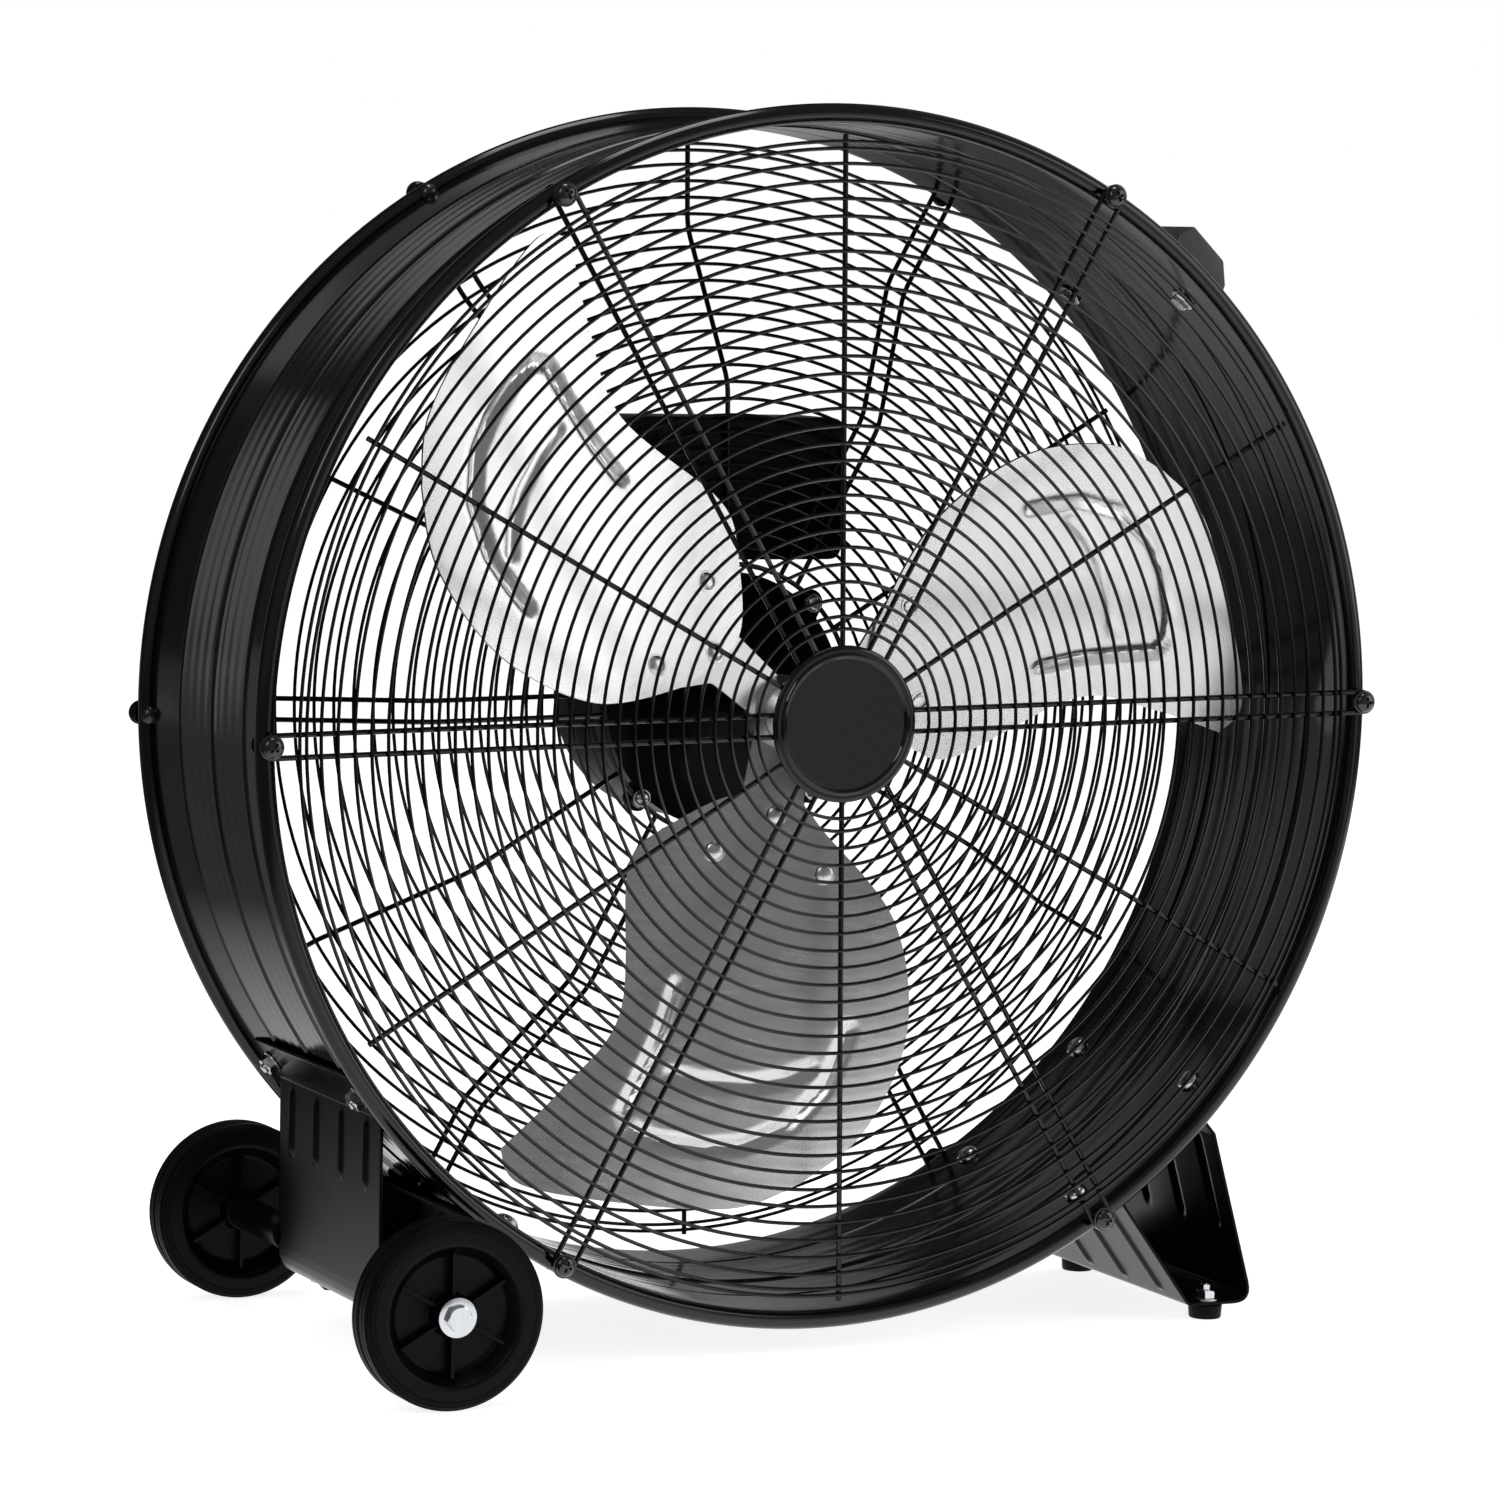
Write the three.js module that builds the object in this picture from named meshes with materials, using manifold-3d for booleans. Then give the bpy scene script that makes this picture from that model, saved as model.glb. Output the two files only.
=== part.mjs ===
// Drum fan on two wheels and two feet.
// Millimetres. X right, Y to the rear (the front guard looks along -Y), Z up.
// Origin on the floor, under the middle of the drum.
import * as THREE from 'three';
import { mergeVertices } from 'three/addons/utils/BufferGeometryUtils.js';
import Module from 'manifold-3d';

const wasm = await Module();
wasm.setup();

// ---- clearances -------------------------------------------------------------
const gap = 0.3;
const holeGap = 0.5;
const runGap = 0.4;
const cutMargin = 5;
const weldTolerance = 1e-4;

// ---- drum -------------------------------------------------------------------
const drumTurn = 1.2;
const drumSides = 44;
const drumHalfLength = 94;
const beadRadius = 5.5;
const beadSteps = 7;
const wallRadius = 330.4;
const beadStandOff = 4.1;
const beadCentreRadius = wallRadius + beadStandOff;
const floorClearance = 13.2;
const drumAxisZ = beadCentreRadius + beadRadius + floorClearance;
const wallThickness = 1.6;
const ridgeY = 51;
const ridgeHalf = 1;
const ridgeRise = 0.6;
const flareRise = 2.4;
const flareEndRadius = wallRadius + flareRise;
const grooveY = -4;
const grooveHalf = 4.5;
const grooveDepth = 1;
const innerWallRadius = wallRadius - wallThickness;
const rimFaceY = drumHalfLength + beadRadius;

// ---- wire guards ------------------------------------------------------------
const wire = 3.4;
const ringHalf = 1.25;
const ringRise = 2.4;
const ringFirst = 52.5;
const ringSecond = 59.5;
const ringStart = 69;
const ringPitch = 9.52;
const ringCount = 26;
const ringLast = [315.2, 319];
const ringSides = { inner: 12, outer: 24, innerLimit: 200 };
const spokeCount = 6;
const spokeStep = 360 / spokeCount;
const frontCarrierStep = 2;
const rearCarrierStep = 6;
const singleEndInset = 12.5;
const singleEndRadius = beadCentreRadius - singleEndInset;
const loopHalfWidth = 6;
const eyeRadius = 7.8;
const loopEndInset = 4.5;
const loopEndRadius = beadCentreRadius - loopEndInset;
const guardSpokeY = 103.6;
const guardHubRadius = 40;
const hubSides = 16;
const rearFlatRadius = 271;
const rearDishRadius = 183;
const rearDishY = 47.2;
const slopeClear = 2.6;
const rearHoopRadius = 78.5;
const rearInnerRadius = rearHoopRadius - 1;

// ---- guard screws and cap ---------------------------------------------------
const screwSides = 6;
const screwShank = 2.2;
const screwHole = screwShank + holeGap;
const screwWasher = 7.4;
const screwWasherHeight = 1.2;
const screwHead = 5.8;
const screwDepth = 7.5;
const capRadius = 43.5;
const capBeadRadius = 38;
const capFront = 2.6;
const capBeadRise = 1.3;
const capBeadHalf = 2.2;
const capStud = 4;
const capSides = 20;

// ---- blades and spider ------------------------------------------------------
const bladeCount = 3;
const bladeAngle = -98;
const bladeThickness = 1.6;
const bladeY = -35;
const bladeRootHeight = 80;
const bladeConing = 0.05;
const bladePitch = 0.375;
const bladeTwist = 0.0008;
const bladeTwistStart = 98;
const bladeRows = 8;
const bladeColumns = 5;
const bladeHeel = new THREE.Vector2(-57, 75);
const bladeHorn = new THREE.Vector2(-126, 264);
const bladeShoulder = new THREE.Vector2(43, 261);
const bladeToe = new THREE.Vector2(29, 64);
const bladeRootDip = new THREE.Vector2(-16, 49);
const bladeBackBulge = new THREE.Vector2(-72, 100);
const bladeWaist = new THREE.Vector2(-68, 180);
const bladeBackSweep = new THREE.Vector2(-95, 226);
const bladeTipBack = new THREE.Vector2(-112, 282);
const bladeTip = new THREE.Vector2(-50, 285);
const bladeTipFront = new THREE.Vector2(8, 280);
const bladeFrontFlank = new THREE.Vector2(72, 108);
const bladeFrontBulge = new THREE.Vector2(88, 170);
const bladeFrontSweep = new THREE.Vector2(73, 228);
const rivetRadius = 2.8;
const rivetHeadRadius = 5.2;
const rivetHeadRise = 2.2;
const rivetSides = 6;
const rivetPoints = [
  new THREE.Vector2(-28.5, 83),
  new THREE.Vector2(1.5, 58),
  new THREE.Vector2(31, 87),
];
const armThickness = 2.6;
const armNeck = 15;
const armRoot = 8;
const armHalf = 40;
const armTop = 95;
const armShoulder = 76;
const armNotch = 68;
const armNotchHalf = 8;
const hubRadius = 21;
const hubFrontY = -54;
const hubRearY = -18;

// ---- motor ------------------------------------------------------------------
const motorSides = 20;
const shaftSides = 12;
const shaftRadius = 8;
const shaftFrontY = -60;
const shaftChamfer = 1;
const motorRadius = 72.5;
const motorWall = 3;
const motorPlateRadius = 74;
const motorPlateThickness = 2;
const motorPlateBore = 17;
const flangeThickness = 2.6;
const frontBellDepth = 24;
const canLength = 34;
const rearBellDepth = 28;
const bellChamfer = 7;
const bearingRadius = 15;
const bearingLength = 9;
const rotorRadius = 45;
const rotorGap = 1.5;
const rotorHalf = 12;
const motorScrewRadius = 77;
const motorScrewAngle = 45;
const motorScrewCount = 4;
const motorEyeRadius = 6.2;
const motorEarRadius = 8;
const motorBoltSides = 6;

// ---- switch box -------------------------------------------------------------
const boxLeft = -60;
const boxRight = 68;
const boxBottom = 431;
const boxTop = 516;
const boxCorner = 8;
const boxWall = 2.5;
const boxRearY = 98;
const lidThickness = 2.4;
const lidScrewInset = 12;
const lidScrewRadius = 4;
const lidScrewRise = 1.6;
const knobX = 10;
const knobRadius = 15;
const knobLength = 16;
const knobTopRadius = 13.2;
const knobStem = 3.5;
const knobPointerWidth = 4;
const knobPointerReach = 12;
const knobPointerRise = 1.5;
const stemReach = 2;
const glandZ = 471;
const glandY = 75;
const glandRadius = 8;
const glandLength = 9;
const glandBore = 3.5;
const glandStem = 5.5;

// ---- handle -----------------------------------------------------------------
const handleAngle = 46;
const handleWidth = 42;
const handleChamferWidth = 10;
const handleChamferDepth = 13;
const handleHalf = 86;
const handleFingerGap = 28.6;
const handleGripDepth = 14;
const handleShoulderDrop = 22;
const handleHeelDrop = 28;
const handleInnerDrop = 10;
const handleInnerRadius = wallRadius + handleFingerGap;
const handleTopRadius = handleInnerRadius + handleGripDepth;
const handleShoulderRadius = handleTopRadius - handleShoulderDrop;
const handleHeelRadius = handleTopRadius - handleHeelDrop;
const handleInnerShoulderRadius = handleInnerRadius - handleInnerDrop;
const handleTopHalf = 42;
const handleShoulderY = 58;
const handleHeelY = 82;
const handleInnerHalf = 34;
const handleInnerShoulder = 43;
const handleInnerFoot = 46;
const handleBoltY = 67;
const handleBoltEnd = 340;

// ---- bracket sheet ----------------------------------------------------------
const sheet = 1.6;
const flangeStandOff = 3;
const flangeMidRadius = wallRadius + flangeStandOff;
const bendSteps = 3;
const bracketBoltY = 67;
const boltShank = 3;
const boltHead = 6.5;
const boltNut = 6;
const boltNutHeight = 5;
const boltEnd = 3;
const boltHeadRise = 3.6;
const boltSides = 6;

// wheel side, angles seen from the front and counted from +X towards +Z
const wheelBracketHalf = 77.5;
const wheelPanelX = -257.2;
const wheelBaseZ = 28.9;
const wheelInnerFootX = -214;
const wheelOuterFlangeStart = -140.6;
const wheelOuterFlangeEnd = -145.3;
const wheelInnerFlangeStart = -125.6;
const wheelInnerFlangeEnd = -120.6;
const wheelBendRadius = 11;
const innerBendRadius = 6;

// foot side
const footBracketHalf = 86;
const footOuterX = 284;
const footBaseZ = 9.4;
const footInnerX = 242;
const footOuterFlangeStart = -43.4;
const footOuterFlangeEnd = -38.6;
const footInnerFlangeStart = -55.2;
const footInnerFlangeEnd = -60.2;
const footBendRadius = 9;

// ---- feet -------------------------------------------------------------------
const footX = 258;
const footY = 77;
const footSides = 16;
const footBottomRadius = 9.3;
const footTopRadius = 10;
const footHeight = footBaseZ - sheet / 2 - gap;
const footStudFloor = 2.6;
const footWasher = 8;
const footWasherHeight = 1;
const footNutHeight = 5;
const footBoltTop = 20;

// ---- wheels and axle --------------------------------------------------------
const axleX = -252;
const axleZ = 50.8;
const wheelSides = 20;
const tyreRadius = axleZ;
const tyreInner = 45.6;
const tyreHalf = 11.7;
const tyreChamfer = 1.6;
const treadGroove = 0.8;
const treadGrooveHalf = 1.5;
const wheelHalf = 12.25;
const wheelY = 162.25;
const wheelRimInner = 32.5;
const wheelRimSlope = 5;
const wheelWebHalf = 2;
const wheelHubRadius = 11;
const wheelHubHalf = 12.25;
const wheelRibHalf = 1;
const wheelRibHalfWidth = 8;
const wheelRibs = 6;
const wheelRibBite = 1.5;
const axleRod = 4;
const axleStub = 5;
const axleBore = 2.5;
const axleBoreStart = 155;
const sleeveRadius = 9.5;
const axleSides = 12;
const axleBoltWasher = 10.9;
const axleBoltWasherHeight = 1.5;
const axleBoltHex = 7.4;
const axleBoltTop = 180.4;
const clampReachLeft = 2;
const clampReachRight = 16;
const clampFootInset = 6;
const clampLeft = axleX - clampReachLeft;
const clampRight = axleX + clampReachRight;
const clampFootLeft = axleX + clampFootInset;
const clampX = (clampFootLeft + clampRight) / 2;
const clampShoulderZ = 36;
const clampHalfY = 60;
const clampHeight = 62;
const clampBite = 1;
const clampScrewY = 42;
const clampScrewHead = 6;
const clampScrewRise = 3;
const clampScrewSides = 6;

// ---- finishes ---------------------------------------------------------------
const finish = {
  powderCoat: { color: '#1b1c1e', roughness: 0.4, metalness: 0.2 },
  wireCoat: { color: '#151617', roughness: 0.38, metalness: 0.2 },
  aluminium: { color: '#c3c5c7', roughness: 0.34, metalness: 0.95 },
  zinc: { color: '#b9bbbe', roughness: 0.3, metalness: 0.95 },
  steel: { color: '#8d9094', roughness: 0.35, metalness: 0.95 },
  castBlack: { color: '#202123', roughness: 0.55, metalness: 0.3 },
  plastic: { color: '#171718', roughness: 0.5, metalness: 0 },
  glossPlastic: { color: '#0b0b0c', roughness: 0.12, metalness: 0 },
  rubber: { color: '#131313', roughness: 0.8, metalness: 0 },
};

const part = new THREE.Group();
part.name = 'drum_fan';

// ---- solid helpers ----------------------------------------------------------
function signedVolume(position, index) {
  const a = new THREE.Vector3();
  const b = new THREE.Vector3();
  const c = new THREE.Vector3();
  let volume = 0;
  for (let i = 0; i < index.length; i += 3) {
    a.fromArray(position, 3 * index[i]);
    b.fromArray(position, 3 * index[i + 1]);
    c.fromArray(position, 3 * index[i + 2]);
    volume += a.dot(b.cross(c));
  }
  return volume;
}

function dropFlatTriangles(index) {
  const kept = [];
  for (let i = 0; i < index.length; i += 3) {
    const [a, b, c] = [index[i], index[i + 1], index[i + 2]];
    if (a !== b && b !== c && c !== a) kept.push(a, b, c);
  }
  return kept;
}

function turnInsideOut(index) {
  for (let i = 0; i < index.length; i += 3) {
    [index[i + 1], index[i + 2]] = [index[i + 2], index[i + 1]];
  }
}

function toSolid(geometry) {
  const bare = geometry.clone();
  bare.deleteAttribute('normal');
  bare.deleteAttribute('uv');
  const welded = mergeVertices(bare, weldTolerance);
  const position = welded.attributes.position.array;
  const index = dropFlatTriangles(welded.index.array);
  if (signedVolume(position, index) < 0) turnInsideOut(index);
  return new wasm.Manifold(new wasm.Mesh({
    numProp: 3,
    vertProperties: new Float32Array(position),
    triVerts: new Uint32Array(index),
  }));
}

function toGeometry(solid) {
  const mesh = solid.getMesh();
  const indexed = new THREE.BufferGeometry();
  indexed.setAttribute('position', new THREE.BufferAttribute(mesh.vertProperties, 3));
  indexed.setIndex(new THREE.BufferAttribute(mesh.triVerts, 1));
  const flat = indexed.toNonIndexed();
  flat.computeVertexNormals();
  return flat;
}

function joinAll(solids) {
  return solids.reduce((sum, solid) => sum.add(solid));
}

// closed (radius, y) profile turned about the Y axis
function revolve(profile, sides) {
  const points = profile.map(([r, y]) => new THREE.Vector2(r, y));
  points.push(points[0].clone());
  return toSolid(new THREE.LatheGeometry(points, sides));
}

function rod(radius, y0, y1, sides) {
  return revolve([[0, y0], [radius, y0], [radius, y1], [0, y1]], sides);
}

function box(x0, x1, y0, y1, z0, z1) {
  const geometry = new THREE.BoxGeometry(x1 - x0, y1 - y0, z1 - z0);
  geometry.translate((x0 + x1) / 2, (y0 + y1) / 2, (z0 + z1) / 2);
  return toSolid(geometry);
}

function shapeOf(outline) {
  return new THREE.Shape(outline.map(([x, y]) => new THREE.Vector2(x, y)));
}

function extrude(shape, depth) {
  return new THREE.ExtrudeGeometry(shape, { depth, bevelEnabled: false, curveSegments: 2 });
}

// an outline in X and Z, standing from y0 to y1
function extrudeAlongY(outline, y0, y1) {
  const geometry = extrude(shapeOf(outline), y1 - y0);
  geometry.rotateX(Math.PI / 2);
  geometry.translate(0, y1, 0);
  return toSolid(geometry);
}

// counter-clockwise seen from the front
function turned(solid, degrees) {
  return solid.rotate([0, -degrees, 0]);
}

function withDrum(solid, degrees = 0) {
  return turned(solid, degrees + drumTurn).translate([0, 0, drumAxisZ]);
}

function aroundAxis(solid, degrees = 0) {
  return turned(solid, degrees).translate([0, 0, drumAxisZ]);
}

function mirrorY(solid) {
  return solid.rotate([180, 0, 0]);
}

function uprightZ(solid) {
  return solid.rotate([90, 0, 0]);
}

function outwardX(solid) {
  return solid.rotate([0, 0, -90]);
}

function polar(radius, degrees) {
  const angle = THREE.MathUtils.degToRad(degrees);
  return [radius * Math.cos(angle), radius * Math.sin(angle)];
}

function piece(name, solid, look) {
  const material = new THREE.MeshStandardMaterial({ ...look, name });
  const mesh = new THREE.Mesh(toGeometry(solid), material);
  mesh.name = name;
  part.add(mesh);
}

// ---- sheet metal helpers ----------------------------------------------------
function roundCorner(before, corner, after, radius) {
  const [c, p, n] = [corner, before, after].map(([x, y]) => new THREE.Vector2(x, y));
  const toBefore = p.sub(c).normalize();
  const toAfter = n.sub(c).normalize();
  const half = Math.acos(THREE.MathUtils.clamp(toBefore.dot(toAfter), -1, 1)) / 2;
  const reach = radius / Math.tan(half);
  const start = c.clone().addScaledVector(toBefore, reach);
  const end = c.clone().addScaledVector(toAfter, reach);
  const curve = new THREE.QuadraticBezierCurve(start, c, end);
  return curve.getPoints(bendSteps).map((point) => [point.x, point.y]);
}

function offsetPoint(points, i, distance) {
  const here = new THREE.Vector2(...points[i]);
  const last = new THREE.Vector2(...points[Math.max(i - 1, 0)]);
  const next = new THREE.Vector2(...points[Math.min(i + 1, points.length - 1)]);
  const inward = (i === 0 ? next.clone().sub(here) : here.clone().sub(last)).normalize();
  const onward = (i === points.length - 1 ? inward.clone() : next.clone().sub(here)).normalize();
  const along = inward.clone().add(onward).normalize();
  const stretch = distance / along.dot(onward);
  return [here.x - along.y * stretch, here.y + along.x * stretch];
}

// a folded sheet of even thickness that follows a line of points
function foldedSheet(points, thickness) {
  const left = points.map((_, i) => offsetPoint(points, i, thickness / 2));
  const right = points.map((_, i) => offsetPoint(points, i, -thickness / 2));
  return [...left, ...right.reverse()];
}

// ---- drum shell -------------------------------------------------------------
function beadArc() {
  const outerReach = flareEndRadius - beadCentreRadius;
  const start = -THREE.MathUtils.radToDeg(Math.acos(outerReach / beadRadius));
  const innerReach = flareEndRadius - wallThickness - beadCentreRadius;
  const end = 360 - THREE.MathUtils.radToDeg(Math.acos(innerReach / beadRadius));
  const points = [];
  for (let i = 0; i <= beadSteps; i += 1) {
    const [dr, dy] = polar(beadRadius, start + (end - start) * i / beadSteps);
    points.push([beadCentreRadius + dr, drumHalfLength + dy]);
  }
  return points;
}

function wallSide(base) {
  return [[base, ridgeY - ridgeHalf], [base + ridgeRise, ridgeY + ridgeHalf]];
}

function mirrorProfile(points) {
  return points.map(([r, y]) => [r, -y]).reverse();
}

function drumProfile() {
  const rearBead = beadArc();
  const outer = wallSide(wallRadius);
  const inner = wallSide(innerWallRadius);
  const groove = [
    [wallRadius, grooveY - grooveHalf - grooveDepth],
    [wallRadius - grooveDepth, grooveY - grooveHalf],
    [wallRadius - grooveDepth, grooveY + grooveHalf],
    [wallRadius, grooveY + grooveHalf + grooveDepth],
  ];
  return [
    ...mirrorProfile(rearBead),
    ...mirrorProfile(outer),
    ...groove,
    ...outer,
    ...rearBead,
    ...[...inner].reverse(),
    ...mirrorProfile(inner).reverse(),
  ];
}

// the solid space that the drum fills, with a clearance all round
function drumEnvelope() {
  const reach = drumHalfLength - beadRadius;
  const half = [
    ...wallSide(wallRadius + gap),
    [flareEndRadius + gap, reach],
    [0, reach],
  ];
  return withDrum(revolve([...mirrorProfile(half), ...half], drumSides));
}

function radialHole(degrees, y) {
  const start = innerWallRadius - cutMargin;
  const drill = rod(boltShank + holeGap, start, handleBoltEnd + gap, boltSides);
  return aroundAxis(outwardX(drill).translate([0, y, 0]), degrees);
}

function rimHole(sign, index) {
  const front = rod(screwHole, rimFaceY - screwDepth - gap, rimFaceY + cutMargin, screwSides);
  const drill = sign > 0 ? front : mirrorY(front);
  return withDrum(drill.translate([beadCentreRadius, 0, 0]), index * spokeStep);
}

function boltPlaces() {
  const wheelAngles = [
    (wheelOuterFlangeStart + wheelOuterFlangeEnd) / 2,
    (wheelInnerFlangeStart + wheelInnerFlangeEnd) / 2,
  ];
  const footAngles = [
    (footOuterFlangeStart + footOuterFlangeEnd) / 2,
    (footInnerFlangeStart + footInnerFlangeEnd) / 2,
  ];
  const both = (angles) => angles.flatMap((a) => [[a, -bracketBoltY], [a, bracketBoltY]]);
  return { wheel: both(wheelAngles), foot: both(footAngles) };
}

function drumShell() {
  let shell = withDrum(revolve(drumProfile(), drumSides));
  const places = boltPlaces();
  const handles = [[handleAngle, -handleBoltY], [handleAngle, handleBoltY]];
  for (const [degrees, y] of [...places.wheel, ...places.foot, ...handles]) {
    shell = shell.subtract(radialHole(degrees, y));
  }
  for (let i = 0; i < spokeCount; i += 1) {
    shell = shell.subtract(rimHole(1, i));
    shell = shell.subtract(rimHole(-1, i));
  }
  return shell;
}

// ---- wire guards, drawn for the rear and mirrored for the front -------------
function ringRadii(first) {
  const radii = [ringFirst, ringSecond];
  for (let i = 0; i < ringCount; i += 1) radii.push(ringStart + ringPitch * i);
  return [...radii, ...ringLast].filter((radius) => radius > first);
}

// multiples of twelve put a corner of each ring on every spoke
function sidesFor(radius) {
  return radius < ringSides.innerLimit ? ringSides.inner : ringSides.outer;
}

// a round wire drawn with three sides, its flat side lying on the spokes
function wireRing(radius, baseY, rise) {
  const section = [[radius - ringHalf, baseY], [radius + ringHalf, baseY], [radius, baseY + rise]];
  return revolve(section, sidesFor(radius));
}

function bentSpoke(path, offset) {
  const geometry = extrude(shapeOf(foldedSheet(path, wire)), wire);
  geometry.translate(0, 0, offset - wire / 2);
  return toSolid(geometry);
}

function eye(radius, centreRadius, y0, y1) {
  return rod(radius, y0, y1, screwSides).translate([centreRadius, 0, 0]);
}

function guardSpokes(pathTo, carrierPathTo, carrierStep) {
  const solids = [];
  for (let i = 0; i < spokeCount; i += 1) {
    const single = (i + 0.5) * spokeStep;
    const path = i % carrierStep === 0 ? carrierPathTo(singleEndRadius) : pathTo(singleEndRadius);
    solids.push(turned(bentSpoke(path, 0), single));
    const pair = [-loopHalfWidth, loopHalfWidth].map((side) => bentSpoke(pathTo(loopEndRadius), side));
    const loop = eye(eyeRadius, beadCentreRadius, rimFaceY + gap, guardSpokeY + wire / 2 - gap);
    solids.push(turned(joinAll([...pair, loop]), i * spokeStep));
  }
  return solids;
}

function guardEyeHoles() {
  const holes = [];
  for (let i = 0; i < spokeCount; i += 1) {
    const drill = rod(screwHole, rimFaceY - cutMargin, guardSpokeY + cutMargin, screwSides);
    holes.push(turned(drill.translate([beadCentreRadius, 0, 0]), i * spokeStep));
  }
  return joinAll(holes);
}

function frontGuard() {
  const carrier = (end) => [[guardHubRadius / 2, guardSpokeY], [end, guardSpokeY]];
  const plain = (end) => [[guardHubRadius / 2, guardSpokeY - gap], [end, guardSpokeY - gap]];
  const ringBase = guardSpokeY + wire / 2;
  const rings = ringRadii(0).map((radius) => wireRing(radius, ringBase, ringRise));
  const plateY = guardSpokeY - gap - wire / 2;
  const plate = rod(guardHubRadius, plateY, plateY + wire, hubSides);
  const spokes = guardSpokes(plain, carrier, frontCarrierStep);
  const stud = rod(capStud + gap, plateY - cutMargin, ringBase + cutMargin, capSides);
  const whole = joinAll([plate, ...spokes, ...rings]);
  return withDrum(mirrorY(whole.subtract(guardEyeHoles()).subtract(stud)));
}

function rearPath(shift, clear) {
  return (end) => [
    [rearInnerRadius, rearDishY + shift],
    [rearDishRadius - clear, rearDishY + shift],
    [rearFlatRadius - clear, guardSpokeY + shift],
    [end, guardSpokeY + shift],
  ];
}

function rearSpokeY(radius) {
  const share = (radius - rearDishRadius) / (rearFlatRadius - rearDishRadius);
  return rearDishY + (guardSpokeY - rearDishY) * THREE.MathUtils.clamp(share, 0, 1);
}

function motorScrewTurn(index) {
  return motorScrewAngle + index * 360 / motorScrewCount;
}

function ringOfFour(make) {
  const solids = Array.from({ length: motorScrewCount }, (_, i) => turned(make(), motorScrewTurn(i)));
  return joinAll(solids);
}

function motorEyes() {
  const front = rearDishY - wire / 2 + gap;
  return ringOfFour(() => eye(motorEyeRadius, motorScrewRadius, front, front + wire));
}

function motorScrewHoles(y0, y1) {
  const drill = rod(boltShank + holeGap, y0, y1, motorBoltSides);
  return ringOfFour(() => drill.translate([motorScrewRadius, 0, 0]));
}

// the inmost ring is a stouter hoop that all the spokes end on
function rearHoop() {
  const [inner, outer] = [rearHoopRadius - wire / 2, rearHoopRadius + wire / 2];
  const [front, back] = [rearDishY + gap - wire / 2, rearDishY + gap + wire / 2];
  return revolve([[inner, front], [outer, front], [outer, back], [inner, back]], ringSides.inner);
}

function rearGuard() {
  const rings = ringRadii(rearHoopRadius + wire).map((radius) => (
    wireRing(radius, rearSpokeY(radius) - wire / 2, -ringRise)));
  const spokes = guardSpokes(rearPath(gap, slopeClear), rearPath(0, 0), rearCarrierStep);
  const whole = joinAll([...spokes, ...rings, rearHoop(), motorEyes()]);
  const screwHoles = motorScrewHoles(rearDishY - cutMargin, rearDishY + cutMargin);
  return withDrum(whole.subtract(guardEyeHoles()).subtract(screwHoles));
}

function guardScrew(sign, index) {
  const seat = guardSpokeY + wire / 2 + (sign > 0 ? 2 * gap : 0);
  const washer = seat + screwWasherHeight;
  const profile = [
    [0, rimFaceY - screwDepth],
    [screwShank, rimFaceY - screwDepth],
    [screwShank, seat],
    [screwWasher, seat],
    [screwWasher, washer],
    [screwHead, washer],
    [screwHead / 2, washer + screwHead / 2],
    [0, washer + screwHead / 2],
  ];
  const screw = revolve(profile, screwSides);
  const facing = sign > 0 ? screw : mirrorY(screw);
  return withDrum(facing.translate([beadCentreRadius, 0, 0]), index * spokeStep);
}

function hubCap() {
  const back = guardSpokeY + wire / 2 + gap;
  const face = back + capFront;
  const profile = [
    [0, back - wire - gap],
    [capStud, back - wire - gap],
    [capStud, back],
    [capRadius, back],
    [capRadius, face - capBeadRise],
    [capBeadRadius + capBeadHalf, face],
    [capBeadRadius, face + capBeadRise],
    [capBeadRadius - capBeadHalf, face],
    [0, face],
  ];
  return withDrum(mirrorY(revolve(profile, capSides)));
}

// ---- blades: u runs across a blade, v outwards from the drum axis ------------
function bladeHeight(u, v) {
  const pitch = bladePitch - bladeTwist * Math.max(v - bladeTwistStart, 0);
  return bladeY - bladeConing * (v - bladeRootHeight) - u * pitch;
}

function bladeEdges() {
  return {
    back: new THREE.SplineCurve([bladeHeel, bladeBackBulge, bladeWaist, bladeBackSweep, bladeHorn]),
    front: new THREE.SplineCurve([
      bladeToe, bladeFrontFlank, bladeFrontBulge, bladeFrontSweep, bladeShoulder,
    ]),
    root: new THREE.SplineCurve([bladeHeel, bladeRootDip, bladeToe]),
    tip: new THREE.SplineCurve([bladeHorn, bladeTipBack, bladeTip, bladeTipFront, bladeShoulder]),
  };
}

// smooth patch between the four edges of a blade
function bladePoint(edges, s, t) {
  const sides = edges.back.getPoint(t).lerp(edges.front.getPoint(t), s);
  const ends = edges.root.getPoint(s).lerp(edges.tip.getPoint(s), t);
  const low = bladeHeel.clone().lerp(bladeToe, s);
  const high = bladeHorn.clone().lerp(bladeShoulder, s);
  return sides.add(ends).sub(low.lerp(high, t));
}

function patchCorner(edges, row, column, offset) {
  const point = bladePoint(edges, column / bladeColumns, row / bladeRows);
  return [point.y, bladeHeight(point.x, point.y) + offset, point.x];
}

function quad(list, a, b, c, d) {
  list.push(...a, ...b, ...c, ...a, ...c, ...d);
}

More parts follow.
